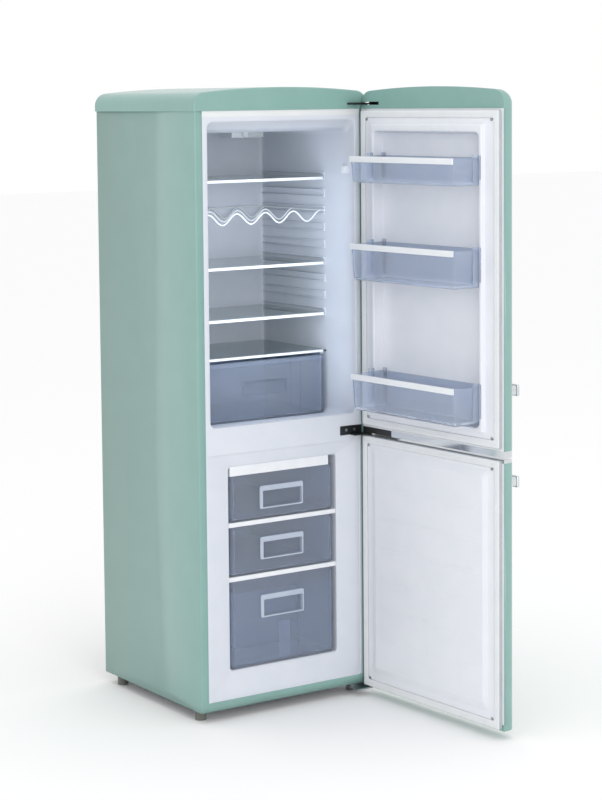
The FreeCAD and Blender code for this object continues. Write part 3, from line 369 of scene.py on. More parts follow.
def crownHeight(across, half, crown, shoulder, inset):
    # height of the cap's top above its base: a shallow dome between rounded shoulders
    shoulderX = half - inset
    reach = abs(across)
    if reach <= shoulderX:
        return shoulder + (crown - shoulder) * (1 - (reach / shoulderX) ** 2)
    fall = min((reach - shoulderX) / inset, 1)
    return capDetail["sideRise"] + (shoulder - capDetail["sideRise"]) * math.sqrt(max(1 - fall ** 2, 0))


def domedCap(low, high, shoulder, frontRound, planRound):
    # a grid shaped into the dome, with its rim drawn down to the base and closed below
    half = (high.x - low.x) / 2
    depth = high.y - low.y
    crown = high.z - low.z
    inset = capDetail["shoulderInset"]
    bm = bmesh.new()
    bmesh.ops.create_grid(bm, x_segments=72, y_segments=40, size=1)
    for vertex in bm.verts:
        across = math.sin(vertex.co.x * math.pi / 2)
        share = (vertex.co.y + 1) / 2
        back = share ** 2.2 * depth
        sideways = half
        if back < planRound:
            sideways = half - planRound + math.sqrt(max(planRound ** 2 - (planRound - back) ** 2, 0))
        drop = 0
        if back < frontRound:
            drop = frontRound - math.sqrt(max(frontRound ** 2 - (frontRound - back) ** 2, 0))
        rise = crownHeight(across * half, half, crown, shoulder, inset) * (1 - drop / crown)
        vertex.co = Vector((across * sideways, low.y + back, low.z + rise))
    rim = [edge for edge in bm.edges if edge.is_boundary]
    skirt = bmesh.ops.extrude_edge_only(bm, edges=rim)["geom"]
    for vertex in [item for item in skirt if isinstance(item, bmesh.types.BMVert)]:
        vertex.co.z = low.z
    bmesh.ops.contextual_create(bm, geom=[edge for edge in bm.edges if edge.is_boundary])
    return bm


def makeCabinetCap():
    low, high = cad("cabinet_cap")
    bm = domedCap(low, high, capDetail["shoulder"], capDetail["frontRound"], capDetail["planRound"])
    bracketLow, bracketHigh = cad("top_hinge_bracket")
    cutter = bmesh.new()  # the slot that the hinge arm comes out of
    roundBlock(cutter, (bracketLow.x - 1, low.y - 30, bracketHigh.z - 5),
               (high.x + 5, low.y + 12, bracketHigh.z + 1), 0)
    finishPiece(carved(bm, cutter), "cabinetCap", "cabinet", mintEnamel, ["cabinet_cap"],
                angle=50)


makeOuterShell()
makeCabinetCap()
print("cabinet shell made")

# ---- fridge liner ----

linerDetail = {
    "wall": 1.2, "frameLow": 63, "frameHigh": 45, "backWall": 2, "cornerRound": 18, "mouthFlare": 5,
    "flareRise": 30, "flareDepth": 50, "lipRise": 16, "lipDepth": 30, "backRound": 20,
}


def makeFridgeLiner():
    low, high = cad("fridge_liner")
    glassLow, glassHigh = cad("crisper_cover")
    side = glassHigh.x + 1
    floor = low.z + linerDetail["frameLow"]
    ceiling = high.z - linerDetail["frameHigh"]
    top = ceiling + linerDetail["flareRise"]
    bottom = floor + linerDetail["lipRise"]
    front, back = low.y, high.y - linerDetail["backWall"]
    lip = linerDetail["mouthFlare"]
    corner = linerDetail["cornerRound"]
    lipDepth, flareDepth = linerDetail["lipDepth"], linerDetail["flareDepth"]
    sloped = top - lipDepth / flareDepth * linerDetail["flareRise"]
    bend = linerDetail["backRound"]
    loops = [
        (1, front, (low.x, low.z), (high.x, high.z), 1),
        (1, front, (-side - lip, bottom - lip), (side + lip, top + lip), corner + lip),
        (1, front + 1.5, (-side - 1.5, bottom - 1.5), (side + 1.5, top + 1.5), corner + 1.5),
        (1, front + lip, (-side, bottom), (side, top), corner),
        (1, front + lipDepth, (-side, floor), (side, sloped), corner),
        (1, front + flareDepth, (-side, floor), (side, ceiling), corner),
        (1, back - bend, (-side, floor), (side, ceiling), corner),
        (1, back - 6, (-side + 5, floor + 5), (side - 5, ceiling - 5), corner),
        (1, back, (-side + bend, floor + bend), (side - bend, ceiling - bend), corner),
    ]
    bm = bmesh.new()
    loft(bm, loops)
    finishPiece(bm, "fridgeLiner", "cabinet", linerPlastic, ["fridge_liner"],
                wall=linerDetail["wall"])
    makeGuides(side, front + guideDetail["setback"], back)
    makeLedges(side, front + ledgeDetail["setback"], back, glassLow.z)


guideDetail = {"rows": 9, "setback": 150, "reach": 8, "groove": 17, "height": 23, "overGlass": 8, "edge": 1.2}


def makeGuides(side, near, far):
    # grooved rails: an upper and a lower lip with a wide groove between them
    first = cad("low_shelf_glass")[0].z + guideDetail["overGlass"]
    last = cad("high_shelf_glass")[0].z + guideDetail["overGlass"]
    inner, outer = guideDetail["groove"] / 2, guideDetail["height"] / 2
    for sign, word in ((-1, "Left"), (1, "Right")):
        bm = bmesh.new()
        for row in range(guideDetail["rows"]):
            height = first + (last - first) * row / (guideDetail["rows"] - 1)
            for under, over in ((-outer, -inner), (inner, outer)):
                across = sorted((sign * (side - guideDetail["reach"]), sign * (side + 0.5)))
                roundBlock(bm, (across[0], near, height + under), (across[1], far, height + over),
                           guideDetail["edge"], 2)
            across = sorted((sign * (side - 2), sign * (side + 0.5)))
            roundBlock(bm, (across[0], near + 1, height - 9), (across[1], far, height + 9), 0.3, 1)
        finishPiece(bm, "shelfGuides" + word, "cabinet", linerPlastic)


ledgeDetail = {"setback": 165, "reach": 12, "height": 10, "edge": 1.5}


def makeLedges(side, near, far, top):
    # the two ledges that carry the crisper's glass cover
    bm = bmesh.new()
    for sign in (-1, 1):
        across = sorted((sign * (side - ledgeDetail["reach"]), sign * (side + 0.5)))
        roundBlock(bm, (across[0], near, top - ledgeDetail["height"]), (across[1], far, top - 0.2),
                   ledgeDetail["edge"], 3)
    finishPiece(bm, "crisperLedges", "cabinet", linerPlastic)


makeFridgeLiner()
for word in ("low", "middle", "high"):
    dress(f"{word}_shelf_glass", shelfGlass, 0.5)
    dress(f"{word}_shelf_trim", whitePlastic, 2.0)
dress("crisper_cover", shelfGlass, 0.5)
dress("bottle_rack", whiteWire, 0)
dress("top_rail", whiteEnamel, 0.4)
dress("lamp_housing", whitePlastic, 2.5)
dress("lamp_lens", lensPlastic, 2.5)
dress("thermostat_knob", whitePlastic, 0.8)
dress("switch_housing", whitePlastic, 1.0)
dress("switch_plunger", whitePlastic, 0.8)


coverTrimDetail = {"inset": 12, "depth": 9, "edge": 2}


def makeCoverTrim():
    # the white front trim of the crisper's glass cover
    low, high = cad("crisper_cover")
    inset = coverTrimDetail["inset"]
    bm = bmesh.new()
    roundBlock(bm, (low.x + inset, low.y - 2, low.z - 1.5),
               (high.x - inset, low.y + coverTrimDetail["depth"], high.z + 1), coverTrimDetail["edge"], 4)
    finishPiece(bm, "crisperCoverTrim", "cabinet", whitePlastic)


makeCoverTrim()
print("fridge compartment made")

# ---- crisper and freezer drawers ----

drawerDetail = {"wall": 3.2, "front": 13, "corner": 9, "pullDepth": 9, "pullRound": 4, "pullHalf": 68.5,
                "frame": 11, "frameStand": 1.6}
crisperDetail = {"pullLeft": -55, "pullRight": 99, "pullLow": 74, "pullHigh": 117, "ridges": (115, 150)}


def openTray(low, high):
    # a cup with a thick front: outside up, over the rim, and down inside
    wall, front, corner = drawerDetail["wall"], drawerDetail["front"], drawerDetail["corner"]
    inLow = (low.x + wall, low.y + front)
    inHigh = (high.x - wall, high.y - wall)
    bm = bmesh.new()
    loops = [
        (2, low.z, (low.x + 5, low.y + 3), (high.x - 5, high.y - 5), corner),
        (2, low.z + 1.5, (low.x + 1.5, low.y + 1), (high.x - 1.5, high.y - 1.5), corner),
        (2, low.z + 5, (low.x, low.y), (high.x, high.y), corner),
        (2, high.z - 1, (low.x, low.y), (high.x, high.y), corner),
        (2, high.z, (low.x + 1, low.y + 1), (high.x - 1, high.y - 1), corner),
        (2, high.z, (inLow[0] - 0.8, inLow[1] - 0.8), (inHigh[0] + 0.8, inHigh[1] + 0.8), corner),
        (2, high.z - 0.8, inLow, inHigh, corner),
        (2, low.z + wall + 4, inLow, inHigh, corner),
        (2, low.z + wall, (inLow[0] + 4, inLow[1] + 4), (inHigh[0] - 4, inHigh[1] - 4), corner),
    ]
    return loft(bm, loops, capFirst=True)


def pullCutter(left, right, low, high, front):
    cutter = bmesh.new()
    roundBlock(cutter, (left, front - 20, low), (right, front + drawerDetail["pullDepth"], high),
               drawerDetail["pullRound"], 4)
    return cutter


def makeCrisper():
    low, high = cad("crisper_drawer")
    pull = pullCutter(crisperDetail["pullLeft"], crisperDetail["pullRight"], low.z + crisperDetail["pullLow"],
                      low.z + crisperDetail["pullHigh"], low.y)
    bm = carved(openTray(low, high), pull)
    for line in crisperDetail["ridges"]:  # two upright ridges on the front
        roundBlock(bm, (line - 1, low.y - 0.9, low.z + 12), (line + 1, low.y + 1, high.z - 10), 0.6, 2)
    roundBlock(bm, (low.x + 4, low.y - 1.6, high.z - 14), (high.x - 4, low.y + 2, high.z - 2), 1.5, 3)
    finishPiece(bm, "crisperDrawer", "crisper", drawerPlastic, ["crisper_drawer"])


def makeFreezerDrawer(word, gripDrop, gripHeight):
    low, high = cad(f"{word}_freezer_drawer")
    half = drawerDetail["pullHalf"]
    top = high.z - gripDrop
    bm = carved(openTray(low, high), pullCutter(-half, half, top - gripHeight, top, low.y))
    stand = drawerDetail["frameStand"]
    border = drawerDetail["frame"]
    roundBlock(bm, (low.x + 8, low.y - 1.2, low.z + 8), (low.x + 12, low.y + 2, high.z - 8), 0.9, 2)
    roundBlock(bm, (high.x - 12, low.y - 1.2, low.z + 8), (high.x - 8, low.y + 2, high.z - 8), 0.9, 2)
    if word == "low":  # a stiffening rib under the pull
        roundBlock(bm, (-17, low.y - 1.2, low.z + 14), (24, low.y + 2, top - gripHeight - 22), 1.1, 3)
    finishPiece(bm, f"{word}FreezerDrawer", f"{word}_drawer", drawerPlastic,
                [f"{word}_freezer_drawer"])
    rim = bmesh.new()
    under = top - gripHeight
    loops = [(1, low.y + 0.5, (-half - border, under - 4), (half + 5, top + border + 4), 6),
             (1, low.y - stand, (-half - border + 1.5, under - 3), (half + 4, top + border + 2.5), 5),
             (1, low.y - stand, (-half - 0.5, under), (half + 0.5, top), 3),
             (1, low.y + 8, (-half + 0.4, under + 0.4), (half - 0.4, top - 0.4), 3)]
    loft(rim, loops, capLast=False)
    finishPiece(rim, f"{word}DrawerPullRim", f"{word}_drawer", rimPlastic, wall=0.8)


makeCrisper()
makeFreezerDrawer("low", 66, 49)
makeFreezerDrawer("middle", 54, 48)
makeFreezerDrawer("high", 53, 49)
print("drawers made")

# ---- freezer liner ----

frameDetail = {
    "wall": 1.2, "backWall": 2, "beadWidth": 16, "beadRise": 3, "sideInset": 22, "lowInset": 16,
    "highInset": 7, "slopeDepth": 13, "mouthDepth": 16, "drawerGap": 10, "stepHeight": 163,
}


def makeFreezerLiner():
    low, high = cad("freezer_liner")
    drawerLow, drawerHigh = cad("low_freezer_drawer")
    gap = frameDetail["drawerGap"]
    stepBack = drawerHigh.y + gap
    half = drawerHigh.x + gap
    floor = drawerLow.z - 0.5
    step = floor + frameDetail["stepHeight"]
    ceiling = cad("evaporator_bar")[1].z
    front, back = low.y, high.y - frameDetail["backWall"]
    mouth = front + frameDetail["mouthDepth"]
    frameHalf = high.x - frameDetail["sideInset"]
    frameLow, frameHigh = low.z + frameDetail["lowInset"], high.z - frameDetail["highInset"]
    rise = frameDetail["beadRise"]
    width = frameDetail["beadWidth"]
    edge = width - 1
    loops = [
        (1, front, (low.x, low.z), (high.x, high.z), 1),
        (1, front, (-frameHalf - width, frameLow - width), (frameHalf + width, frameHigh + width), 9),
        (1, front + rise, (-frameHalf - edge, frameLow - edge), (frameHalf + edge, frameHigh + edge), 9),
        (1, front + rise, (-frameHalf, frameLow), (frameHalf, frameHigh), 8),
        (1, front + frameDetail["slopeDepth"], (-half - 3, floor - 3), (half + 3, ceiling + 3), 10),
        (1, mouth, (-half, floor), (half, ceiling), 10),
        (1, stepBack, (-half, floor), (half, ceiling), 10),
        (1, stepBack + 1, (-half, step), (half, ceiling), 10),
        (1, back, (-half, step), (half, ceiling), 10),
    ]
    bm = bmesh.new()
    loft(bm, loops)
    finishPiece(bm, "freezerLiner", "cabinet", linerPlastic, ["freezer_liner"],
                wall=frameDetail["wall"], angle=25)


makeFreezerLiner()
dress("evaporator_shelves", whitePlastic, 2.0)
dress("evaporator_bar", whitePlastic, 3.0)
print("freezer compartment made")

# ---- doors ----

doorDetail = {"edgeRound": 30, "wall": 1}


def makeDoorSkin(word):
    low, high = shut(f"{word}_door_skin")
    bm = bmesh.new()
    roundBlock(bm, low, high, doorDetail["edgeRound"], 12, along=2, where=lambda place: place.y < low.y + 1)
    away = [face for face in bm.faces if abs(face.calc_center_median().y - high.y) < 0.1]
    bmesh.ops.delete(bm, geom=away, context="FACES")
    piece = finishPiece(bm, f"{word}DoorSkin", f"{word}_door", mintEnamel,
                        [f"{word}_door_skin"], door=True)
    thicken(piece, doorDetail["wall"], -1)


slotDetail = {"low": 11, "high": 20, "reach": 64, "depth": 20, "overlap": 0.5}


def makeDoorCap():
    low, high = shut("upper_door_cap")
    bm = domedCap(low, high, capDetail["doorShoulder"], capDetail["doorFrontRound"], capDetail["doorPlanRound"])
    slotLow, slotHigh = low.z + slotDetail["low"], low.z + slotDetail["high"]
    left, front = hingeLine.x - slotDetail["reach"], hingeLine.y - slotDetail["depth"]
    cutter = bmesh.new()
    roundBlock(cutter, (left, front, slotLow), (high.x + 5, high.y + 5, slotHigh), 0)
    finishPiece(carved(bm, cutter), "upperDoorCap", "upper_door", mintEnamel, ["upper_door_cap"],
                door=True, angle=50)
    lap = slotDetail["overlap"]
    end, back = high.x - 0.8, high.y - 0.6
    slotShadow = bmesh.new()  # painted shadow: thin black plastic sheets inside the hinge slot, standing in for the shade in it
    roundBlock(slotShadow, (left - lap, front - lap, slotLow - lap), (end, back, slotLow + 0.3), 0.2, 1)
    roundBlock(slotShadow, (left - lap, front - lap, slotHigh - 0.3), (end, back, slotHigh + lap), 0.2, 1)
    roundBlock(slotShadow, (left - lap, front - lap, slotLow), (high.x - 4, front + 0.4, slotHigh), 0.2, 1)
    roundBlock(slotShadow, (left - lap, front, slotLow), (left + 0.4, back, slotHigh), 0.2, 1)
    finishPiece(slotShadow, "hingeSlotPaintedShadow", "upper_door", blackPlastic, door=True)


gasketDetail = {"width": 22, "pleat": 5.5, "groove": 12.4, "grooveDepth": 0.9, "unshadedFaceDepth": 1.4}


def makeGasket(word):
    # a pleated seal with a white face that has one fine groove around it, and painted shade in grey on its sides
    # and pleats
    low, high = shut(f"{word}_door_gasket")
    width = gasketDetail["width"]
    near, far = low.y, high.y
    pleat = near + gasketDetail["pleat"]
    groove, deep = gasketDetail["groove"], far - gasketDetail["grooveDepth"]

    def ring(level, inset, radius):
        return (1, level, (low.x + inset, low.z + inset), (high.x - inset, high.z - inset), radius)

    loops = [ring(near, 1.5, 3), ring(near + 2.5, 0.3, 3), ring(pleat, 2.6, 3), ring(pleat + 2.5, 0.3, 3),
             ring(far - 3.2, 0.3, 3), ring(far - 1.2, 1.4, 4), ring(far, 4, 4), ring(far - 0.1, groove - 0.9, 5),
             ring(deep, groove, 5), ring(far - 0.1, groove + 0.9, 5), ring(far, width - 2.5, 6),
             ring(far - 1.5, width, 6), ring(near, width, 6)]
    bm = bmesh.new()
    loft(bm, loops, capLast=False)
    bmesh.ops.bridge_loops(bm, edges=[edge for edge in bm.edges if edge.is_boundary])
    # painted shade: every face behind the contact face takes the grey material
    for face in bm.faces:
        face.material_index = 1 if face.calc_center_median().y > far - gasketDetail["unshadedFaceDepth"] else 0
    finishPiece(bm, f"{word}DoorGasket", f"{word}_door", [gasketPaintedShade, gasketFace],
                [f"{word}_door_gasket"], door=True)


def landEdge(word, low, high, land):
    # the liner's rim: a thin flange under the seal out to the skin, then up to the land
    skinLow, skinHigh = shut(f"{word}_door_skin")
    rim = skinHigh.y - 0.3
    return [
        (1, rim, (skinLow.x + 0.6, skinLow.z + 0.3), (skinHigh.x - 0.6, skinHigh.z - 0.3), 0.5),
        (1, rim, (low.x, low.z), (high.x, high.z), 12),
        (1, land - 1.5, (low.x, low.z), (high.x, high.z), 12),
        (1, land, (low.x + 1.5, low.z + 1.5), (high.x - 1.5, high.z - 1.5), 11),
    ]


upperLinerDetail = {
    "wall": 1, "ridgeOut": 234.5, "ridgeIn": 222.5, "ridgeStand": 9, "recess": 27, "ridgeLow": 17,
    "ridgeHigh": 17, "topRidge": 22, "lowRidge": 12, "outerCorner": 6, "innerCorner": 16,
}


def makeUpperLiner():
    low, high = shut("upper_door_liner")
    front = cad("outer_shell")[0].y
    land = shut("upper_liner_screws")[0].y
    stand = front + upperLinerDetail["ridgeStand"]
    outer, inner = upperLinerDetail["ridgeOut"], upperLinerDetail["ridgeIn"]
    ridgeLow, ridgeHigh = low.z + upperLinerDetail["ridgeLow"], high.z - upperLinerDetail["ridgeHigh"]
    innerLow, innerHigh = ridgeLow + upperLinerDetail["lowRidge"], ridgeHigh - upperLinerDetail["topRidge"]
    corner, bend = upperLinerDetail["outerCorner"], upperLinerDetail["innerCorner"]
    floor = front - upperLinerDetail["recess"]
    loops = [
        *landEdge("upper", low, high, land),
        (1, land, (-outer - 1.5, ridgeLow - 1.5), (outer + 1.5, ridgeHigh + 1.5), corner + 1),
        (1, land + 1.5, (-outer, ridgeLow), (outer, ridgeHigh), corner),
        (1, stand - 3.5, (-outer + 0.6, ridgeLow + 0.6), (outer - 0.6, ridgeHigh - 0.6), corner),
        (1, stand - 1, (-outer + 1.8, ridgeLow + 1.8), (outer - 1.8, ridgeHigh - 1.8), corner - 1),
        (1, stand - 0.1, (-outer + 4, ridgeLow + 4), (outer - 4, ridgeHigh - 4), corner - 2),
        (1, stand, (-inner - 3.5, innerLow - 3.5), (inner + 3.5, innerHigh + 3.5), bend + 3),
        (1, stand - 1.5, (-inner - 1, innerLow - 1), (inner + 1, innerHigh + 1), bend + 1),
        (1, stand - 4, (-inner, innerLow), (inner, innerHigh), bend),
        (1, floor + 6, (-inner + 0.3, innerLow + 4), (inner - 0.3, innerHigh - 4), bend),
        (1, floor + 1.5, (-inner + 1.2, innerLow + 5.5), (inner - 1.2, innerHigh - 5.5), bend),
        (1, floor, (-inner + 6, innerLow + 10), (inner - 6, innerHigh - 10), bend),
    ]
    bm = bmesh.new()
    loft(bm, loops)
    finishPiece(bm, "upperDoorLiner", "upper_door", doorPlastic, ["upper_door_liner"],
                door=True, wall=upperLinerDetail["wall"])


lowerLinerDetail = {
    "wall": 0.8, "plateau": 249, "plateauLow": 22.5, "slope": 21, "stand": 4, "ribs": 7, "ribWidth": 10,
    "ribInset": 25,
}


def makeLowerLiner():
    low, high = shut("lower_door_liner")
    front = cad("outer_shell")[0].y
    land = shut("lower_liner_screws")[0].y
    half = lowerLinerDetail["plateau"]
    slope = lowerLinerDetail["slope"]
    edgeLow, edgeHigh = low.z + lowerLinerDetail["plateauLow"], high.z - slope / 2
    top = front + lowerLinerDetail["stand"]
    loops = [
        *landEdge("lower", low, high, land),
        (1, land, (-half, edgeLow), (half, edgeHigh), 12),
        (1, land + 1.5, (-half + 2, edgeLow + 2), (half - 2, edgeHigh - 2), 12),
        (1, top - 1.5, (-half + slope - 3, edgeLow + slope - 3), (half - slope + 3, edgeHigh - slope + 3), 12),
        (1, top, (-half + slope + 1, edgeLow + slope + 1), (half - slope - 1, edgeHigh - slope - 1), 11),
    ]
    bm = bmesh.new()
    loft(bm, loops)
    count = lowerLinerDetail["ribs"]
    reach = half - slope - lowerLinerDetail["ribInset"]
    thick = lowerLinerDetail["ribWidth"] / 2
    for rib in range(1, count):  # faint ribs pressed across the plateau
        height = edgeLow + slope + (edgeHigh - edgeLow - 2 * slope) * rib / count
        roundBlock(bm, (-reach, top - 1, height - thick), (reach, top + 0.9, height + thick), 0.8, 2)
    finishPiece(bm, "lowerDoorLiner", "lower_door", doorPlastic, ["lower_door_liner"],
                door=True, wall=lowerLinerDetail["wall"])


handleDetail = {"postWidth": 22, "postInset": 4, "thickness": 12, "barRound": 5.4, "washer": 3}


def makeHandle(word):
    # a flat chrome bar with full round edges on two tapering posts
    low, high = shut(f"{word}_door_handle")
    thickness = handleDetail["thickness"]
    inset, width = handleDetail["postInset"], handleDetail["postWidth"]
    bm = bmesh.new()
    roundBlock(bm, low, (high.x, low.y + thickness, high.z), handleDetail["barRound"], 6)
    for left, right in ((low.x + inset, low.x + inset + width), (high.x - inset - width, high.x - inset)):
        loops = [(1, high.y, (left, low.z + 3), (right, high.z - 3), 7),
                 (1, high.y - handleDetail["washer"], (left, low.z + 3), (right, high.z - 3), 7),
                 (1, high.y - 9, (left + 2, low.z + 5), (right - 2, high.z - 5), 6),
                 (1, low.y + thickness + 5, (left + 2, low.z + 5), (right - 2, high.z - 5), 6),
                 (1, low.y + thickness - 2, (left - 1, low.z + 3), (right + 1, high.z - 3), 6)]
        loft(bm, loops, capFirst=True)
    finishPiece(bm, f"{word}DoorHandle", f"{word}_door", chrome, [f"{word}_door_handle"], door=True)


binDetail = {
    "wall": 2.4, "corner": 9, "draft": 5, "draftHeight": 105, "railOverlap": 5, "postDepth": 22,
    "postWidth": 16, "postRise": 9,
}


def makeBin(word):
    low, high = shut(f"{word}_door_bin")
    railLow, railHigh = shut(f"{word}_bin_rail")
    front = cad("outer_shell")[0].y
    half = railHigh.x + binDetail["railOverlap"]
    wall = binDetail["wall"]
    near, far = low.y, railLow.y
    corner = binDetail["corner"]
    inner = corner - wall
    draft = binDetail["draft"] * (high.z - low.z) / binDetail["draftHeight"]

    def ring(level, inset, radius):
        return (2, level, (-half + inset, near + inset), (half - inset, far - inset), radius)

    loops = [ring(low.z, draft + 5, corner - 3), ring(low.z + 2, draft + 1.5, corner),
             ring(low.z + 6, draft, corner), ring(high.z - 0.8, 0, corner), ring(high.z, 0.8, corner),
             ring(high.z, wall - 0.5, inner), ring(high.z - 1, wall, inner),
             ring(low.z + wall + 6, wall + draft, inner), ring(low.z + wall, wall + draft + 5, inner - 2)]
    bm = bmesh.new()
    loft(bm, loops, capFirst=True)
    ear = front + upperLinerDetail["ridgeStand"] + 0.5
    top = high.z + binDetail["postRise"]
    for sign in (-1, 1):  # thick rear posts, each with an ear over the door's ridge
        across = sorted((sign * (half - 0.5), sign * (half + 3.5)))
        roundBlock(bm, (across[0], ear, low.z + 8), (across[1], ear + binDetail["postDepth"], top), 1.5, 3)
        across = sorted((sign * (half + 1), sign * (half + 11.5)))
        roundBlock(bm, (across[0], ear, low.z + 16), (across[1], ear + 3, top - 2), 1.2, 3)
        across = sorted((sign * (half - binDetail["postWidth"]), sign * (half - wall + 0.5)))
        roundBlock(bm, (across[0], near + wall - 0.5, low.z + 12), (across[1], near + wall + 2.5, top), 1.2, 3)
    finishPiece(bm, f"{word}DoorBin", f"{word}_bin", binPlastic, [f"{word}_door_bin"],
                door=True)
    rail = bmesh.new()  # the white front rail, with a lip over the bin's rim
    roundBlock(rail, (-half + 1.5, railLow.y - 0.2, railLow.z), (half - 1.5, railHigh.y, railHigh.z + 0.6),
               1.3, 4)
    roundBlock(rail, (-half + 4, railLow.y - wall - 1, railHigh.z - 0.4),
               (half - 4, railHigh.y - 1, railHigh.z + 1), 0.6, 3)
    finishPiece(rail, f"{word}BinRail", f"{word}_bin", whitePlastic, [f"{word}_bin_rail"],
                door=True)


for word in ("upper", "lower"):
    makeDoorSkin(word)
    makeGasket(word)
    makeHandle(word)
    dress(f"{word}_door_trim", chrome, 1.2)
    dress(f"{word}_door_foam", foam, 0)
    dress(f"{word}_liner_screws", zincSteel, 0.5)
makeDoorCap()
makeUpperLiner()
makeLowerLiner()
for word in ("low", "middle", "high"):
    makeBin(word)
dress("upper_hinge_block", blackPlastic, 1.0)
dress("lower_end_cap", mintEnamel, 1.5)
print("doors made")

# ---- hinges, feet, back and machinery ----

dress("top_hinge_bracket", blackEnamel, 0.8)
dress("middle_hinge_bracket", darkSteel, 0.8)
dress("bottom_hinge_bracket", zincSteel, 0.8)
dress("hinge_screws", zincSteel, 0.6)
dress("levelling_feet", footPlastic, 1.2)
dress("cabinet_foam", foam, 4)
dress("back_panel", galvanised, 0)
dress("base_plate", galvanised, 0)
dress("evaporation_tray", blackPlastic, 1.0)
dress("cord_gland", blackPlastic, 0.8)
dress("compressor_mounts", blackRubber, 2.0)

condenserDetail = {"pipe": 2.5, "runs": 22, "pitch": 62, "wire": 0.9, "wireGap": 12, "wireEnd": 8, "sides": 10}


def makeCondenser():
    # one serpentine pipe by extruding and spinning a ring, then upright wires welded to both sides
    low, high = cad("condenser_coil")
    radius = condenserDetail["pipe"]
    runs, pitch = condenserDetail["runs"], condenserDetail["pitch"]
    first = high.z - radius
    lowRun = first - pitch * (runs - 1)
    bend = pitch / 2
    y = (low.y + high.y) / 2
    straight = high.x - radius - bend
    bm = bmesh.new()
    turn = Matrix.Rotation(math.pi / 2, 4, "Y")
    ring = bmesh.ops.create_circle(bm, cap_ends=False, radius=radius, segments=condenserDetail["sides"],
                                   matrix=Matrix.Translation((straight, y, lowRun)) @ turn)["verts"]
    edges = list({edge for vertex in ring for edge in vertex.link_edges})
    side = -1
    for run in range(runs):
        made = bmesh.ops.extrude_edge_only(bm, edges=edges)["geom"]
        verts = [item for item in made if isinstance(item, bmesh.types.BMVert)]
        bmesh.ops.translate(bm, vec=(side * 2 * straight, 0, 0), verts=verts)
        edges = [item for item in made if isinstance(item, bmesh.types.BMEdge)
                 and all(vertex in verts for vertex in item.verts)]
        if run == runs - 1:
            break
        height = lowRun + run * pitch
        spun = bmesh.ops.spin(bm, geom=verts + edges, cent=(side * straight, y, height + bend),
                              axis=(0, side, 0), dvec=(0, 0, 0), angle=math.pi, steps=8, use_duplicate=False)
        edges = [item for item in spun["geom_last"] if isinstance(item, bmesh.types.BMEdge)]
        side = -side
    finishPiece(bm, "condenserPipe", "cabinet", blackEnamel, ["condenser_coil"])
    wires = bmesh.new()
    count = int(2 * straight / condenserDetail["wireGap"])
    thin, end = condenserDetail["wire"], condenserDetail["wireEnd"]
    offset = radius + thin - 0.4
    for place in range(count + 1):
        across = -straight + 2 * straight * place / count
        for shift in (-offset, offset):
            rod(wires, (across, y + shift, lowRun - end), (0, 0, 1), thin, first - lowRun + 2 * end, 6)
    finishPiece(wires, "condenserWires", "cabinet", blackEnamel)


compressorDetail = {"seamHeight": 62, "seamStand": 4, "domeRound": 38, "drainRadius": 6, "drainDip": 12}


def makeCompressor():
    # two pressed steel cups welded at a seam, on a foot plate, spun from one outline
    low, high = cad("compressor")
    mountLow, mountHigh = cad("compressor_mounts")
    middle = (low + high) / 2
    radius = (high.x - low.x) / 2
    seam = low.z + compressorDetail["seamHeight"]
    can = radius - compressorDetail["seamStand"]
    bend = compressorDetail["domeRound"]
    outline = [(0, low.z), (radius - 20, low.z), (radius - 6, low.z + 6), (can, low.z + 20), (can, seam - 4),
               (radius, seam - 2), (radius, seam + 2), (can, seam + 4), (can, high.z - bend)]
    for step in range(1, 7):
        angle = math.pi / 2 * step / 6
        rise = bend * math.sin(angle) * 0.995  # a hair under the crown, which keeps the pole apart
        outline.append((can - bend + bend * math.cos(angle), high.z - bend + rise))
    outline.append((0, high.z))
    bm = bmesh.new()
    verts = [bm.verts.new((middle.x + across, middle.y, up)) for across, up in outline]
    edges = [bm.edges.new(pair) for pair in zip(verts, verts[1:])]
    bmesh.ops.spin(bm, geom=verts + edges, cent=middle, axis=(0, 0, 1), dvec=(0, 0, 0), angle=2 * math.pi,
                   steps=48, use_merge=True, use_duplicate=False)
    roundBlock(bm, (mountLow.x, mountLow.y, low.z), (mountHigh.x, mountHigh.y, low.z + 3), 1, 2)
    finishPiece(bm, "compressorCan", "cabinet", blackEnamel, ["compressor"])
    relay = bmesh.new()  # the box on the can's side, with a raised lid
    side = middle.x + radius
    roundBlock(relay, (side - 6, middle.y - 36, low.z + 26), (side + 34, middle.y + 36, low.z + 92), 5, 4)
    roundBlock(relay, (side + 33, middle.y - 28, low.z + 34), (side + 36, middle.y + 28, low.z + 84), 1.2, 3)
    finishPiece(relay, "relayCover", "cabinet", blackPlastic)
    drainEnd = cad("evaporation_tray")[1].z - compressorDetail["drainDip"]
    roof = cad("back_panel")[0].z
    drain = bmesh.new()
    rod(drain, (middle.x, middle.y, drainEnd), (0, 0, 1), compressorDetail["drainRadius"], roof - drainEnd)
    finishPiece(drain, "drainTube", "cabinet", blackPlastic)


sheetDetail = {"thickness": 0.8, "bend": 6, "gap": 1.2}


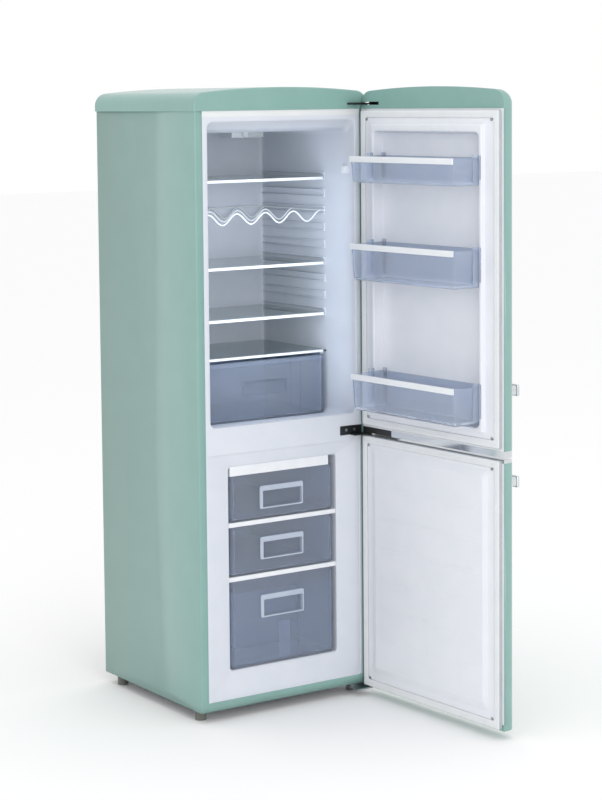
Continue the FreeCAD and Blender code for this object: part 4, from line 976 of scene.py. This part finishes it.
def makeMachineSheet():
    # folded galvanised sheet that covers the foam in front of and above the compressor
    gap, bend = sheetDetail["gap"], sheetDetail["bend"]
    shellLow, shellHigh = cad("outer_shell")
    compressorLow, compressorHigh = cad("compressor")
    panelLow = cad("back_panel")[0]
    near = compressorLow.y + compressorHigh.y - shellHigh.y + gap
    roof = panelLow.z - gap
    outline = [(near, cad("base_plate")[1].z + gap)]
    for step in range(7):
        angle = math.pi / 2 * step / 6
        outline.append((near + bend - bend * math.cos(angle), roof - bend + bend * math.sin(angle)))
    outline.append((panelLow.y - gap, roof))
    left, right = shellLow.x + 2 * gap, shellHigh.x - 2 * gap
    bm = bmesh.new()
    verts = [bm.verts.new((left, along, up)) for along, up in outline]
    edges = [bm.edges.new(pair) for pair in zip(verts, verts[1:])]
    made = bmesh.ops.extrude_edge_only(bm, edges=edges)["geom"]
    swept = [item for item in made if isinstance(item, bmesh.types.BMVert)]
    bmesh.ops.translate(bm, vec=(right - left, 0, 0), verts=swept)
    finishPiece(bm, "machineSheet", "cabinet", galvanised, wall=sheetDetail["thickness"])


makeCondenser()
makeCompressor()
makeMachineSheet()
print("hinges, feet and machinery made")

# ---- floor and light ----

studio = {"floorColour": "#fbfbfb", "floorSize": 30, "worldColour": "#ffffff", "worldStrength": 1.0}


def makeStudio():
    bm = bmesh.new()
    bmesh.ops.create_grid(bm, x_segments=1, y_segments=1, size=studio["floorSize"])
    mesh = bpy.data.meshes.new("floor")
    bm.to_mesh(mesh)
    bm.free()
    floorMaterial = newMaterial("pale_floor", studio["floorColour"], studio["floorColour"], 40, 0.01,
                                {"Roughness": 0.9})
    mesh.materials.append(floorMaterial)
    floor = bpy.data.objects.new("floor", mesh)
    bpy.context.scene.collection.objects.link(floor)
    world = bpy.data.worlds.new("studio")
    world.use_nodes = True
    background = world.node_tree.nodes["Background"]
    background.inputs["Color"].default_value = linear(studio["worldColour"])
    background.inputs["Strength"].default_value = studio["worldStrength"]
    bpy.context.scene.world = world


def addLight(name, place, target, width, height, power, tint):
    # a soft panel; places and sizes in metres, power in watts
    data = bpy.data.lights.new(name, "AREA")
    data.shape = "RECTANGLE"
    data.size = width
    data.size_y = height
    data.energy = power
    data.color = tint
    light = bpy.data.objects.new(name, data)
    bpy.context.scene.collection.objects.link(light)
    light.location = place
    light.rotation_euler = (Vector(target) - Vector(place)).to_track_quat("-Z", "Y").to_euler()


makeStudio()
fillLow, fillHigh = cad("fridge_liner")
fillHeight = (fillLow.z + fillHigh.z) / 2 * mm
lights = {
    "keyLight": ((-1.6, -5.5, 1.9), (0, 0, 1.0), 2.6, 2.6, 60, (1, 1, 1)),
    "topLight": ((0, -0.5, 4.8), (0, 0, 0), 4.0, 4.0, 18, (1, 1, 1)),
    "fridgeFill": ((0, fillLow.y * mm, fillHeight), (0, 1, fillHeight), 0.42, 0.7, 1.3, (0.74, 0.85, 1)),
}
for name, values in lights.items():
    addLight(name, *values)
fill = bpy.data.objects["fridgeFill"]  # only its glow on the walls is wanted
fill.visible_camera = False
fill.visible_transmission = False
fill.visible_glossy = False
bpy.context.scene.view_settings.view_transform = "Standard"
print("studio made")
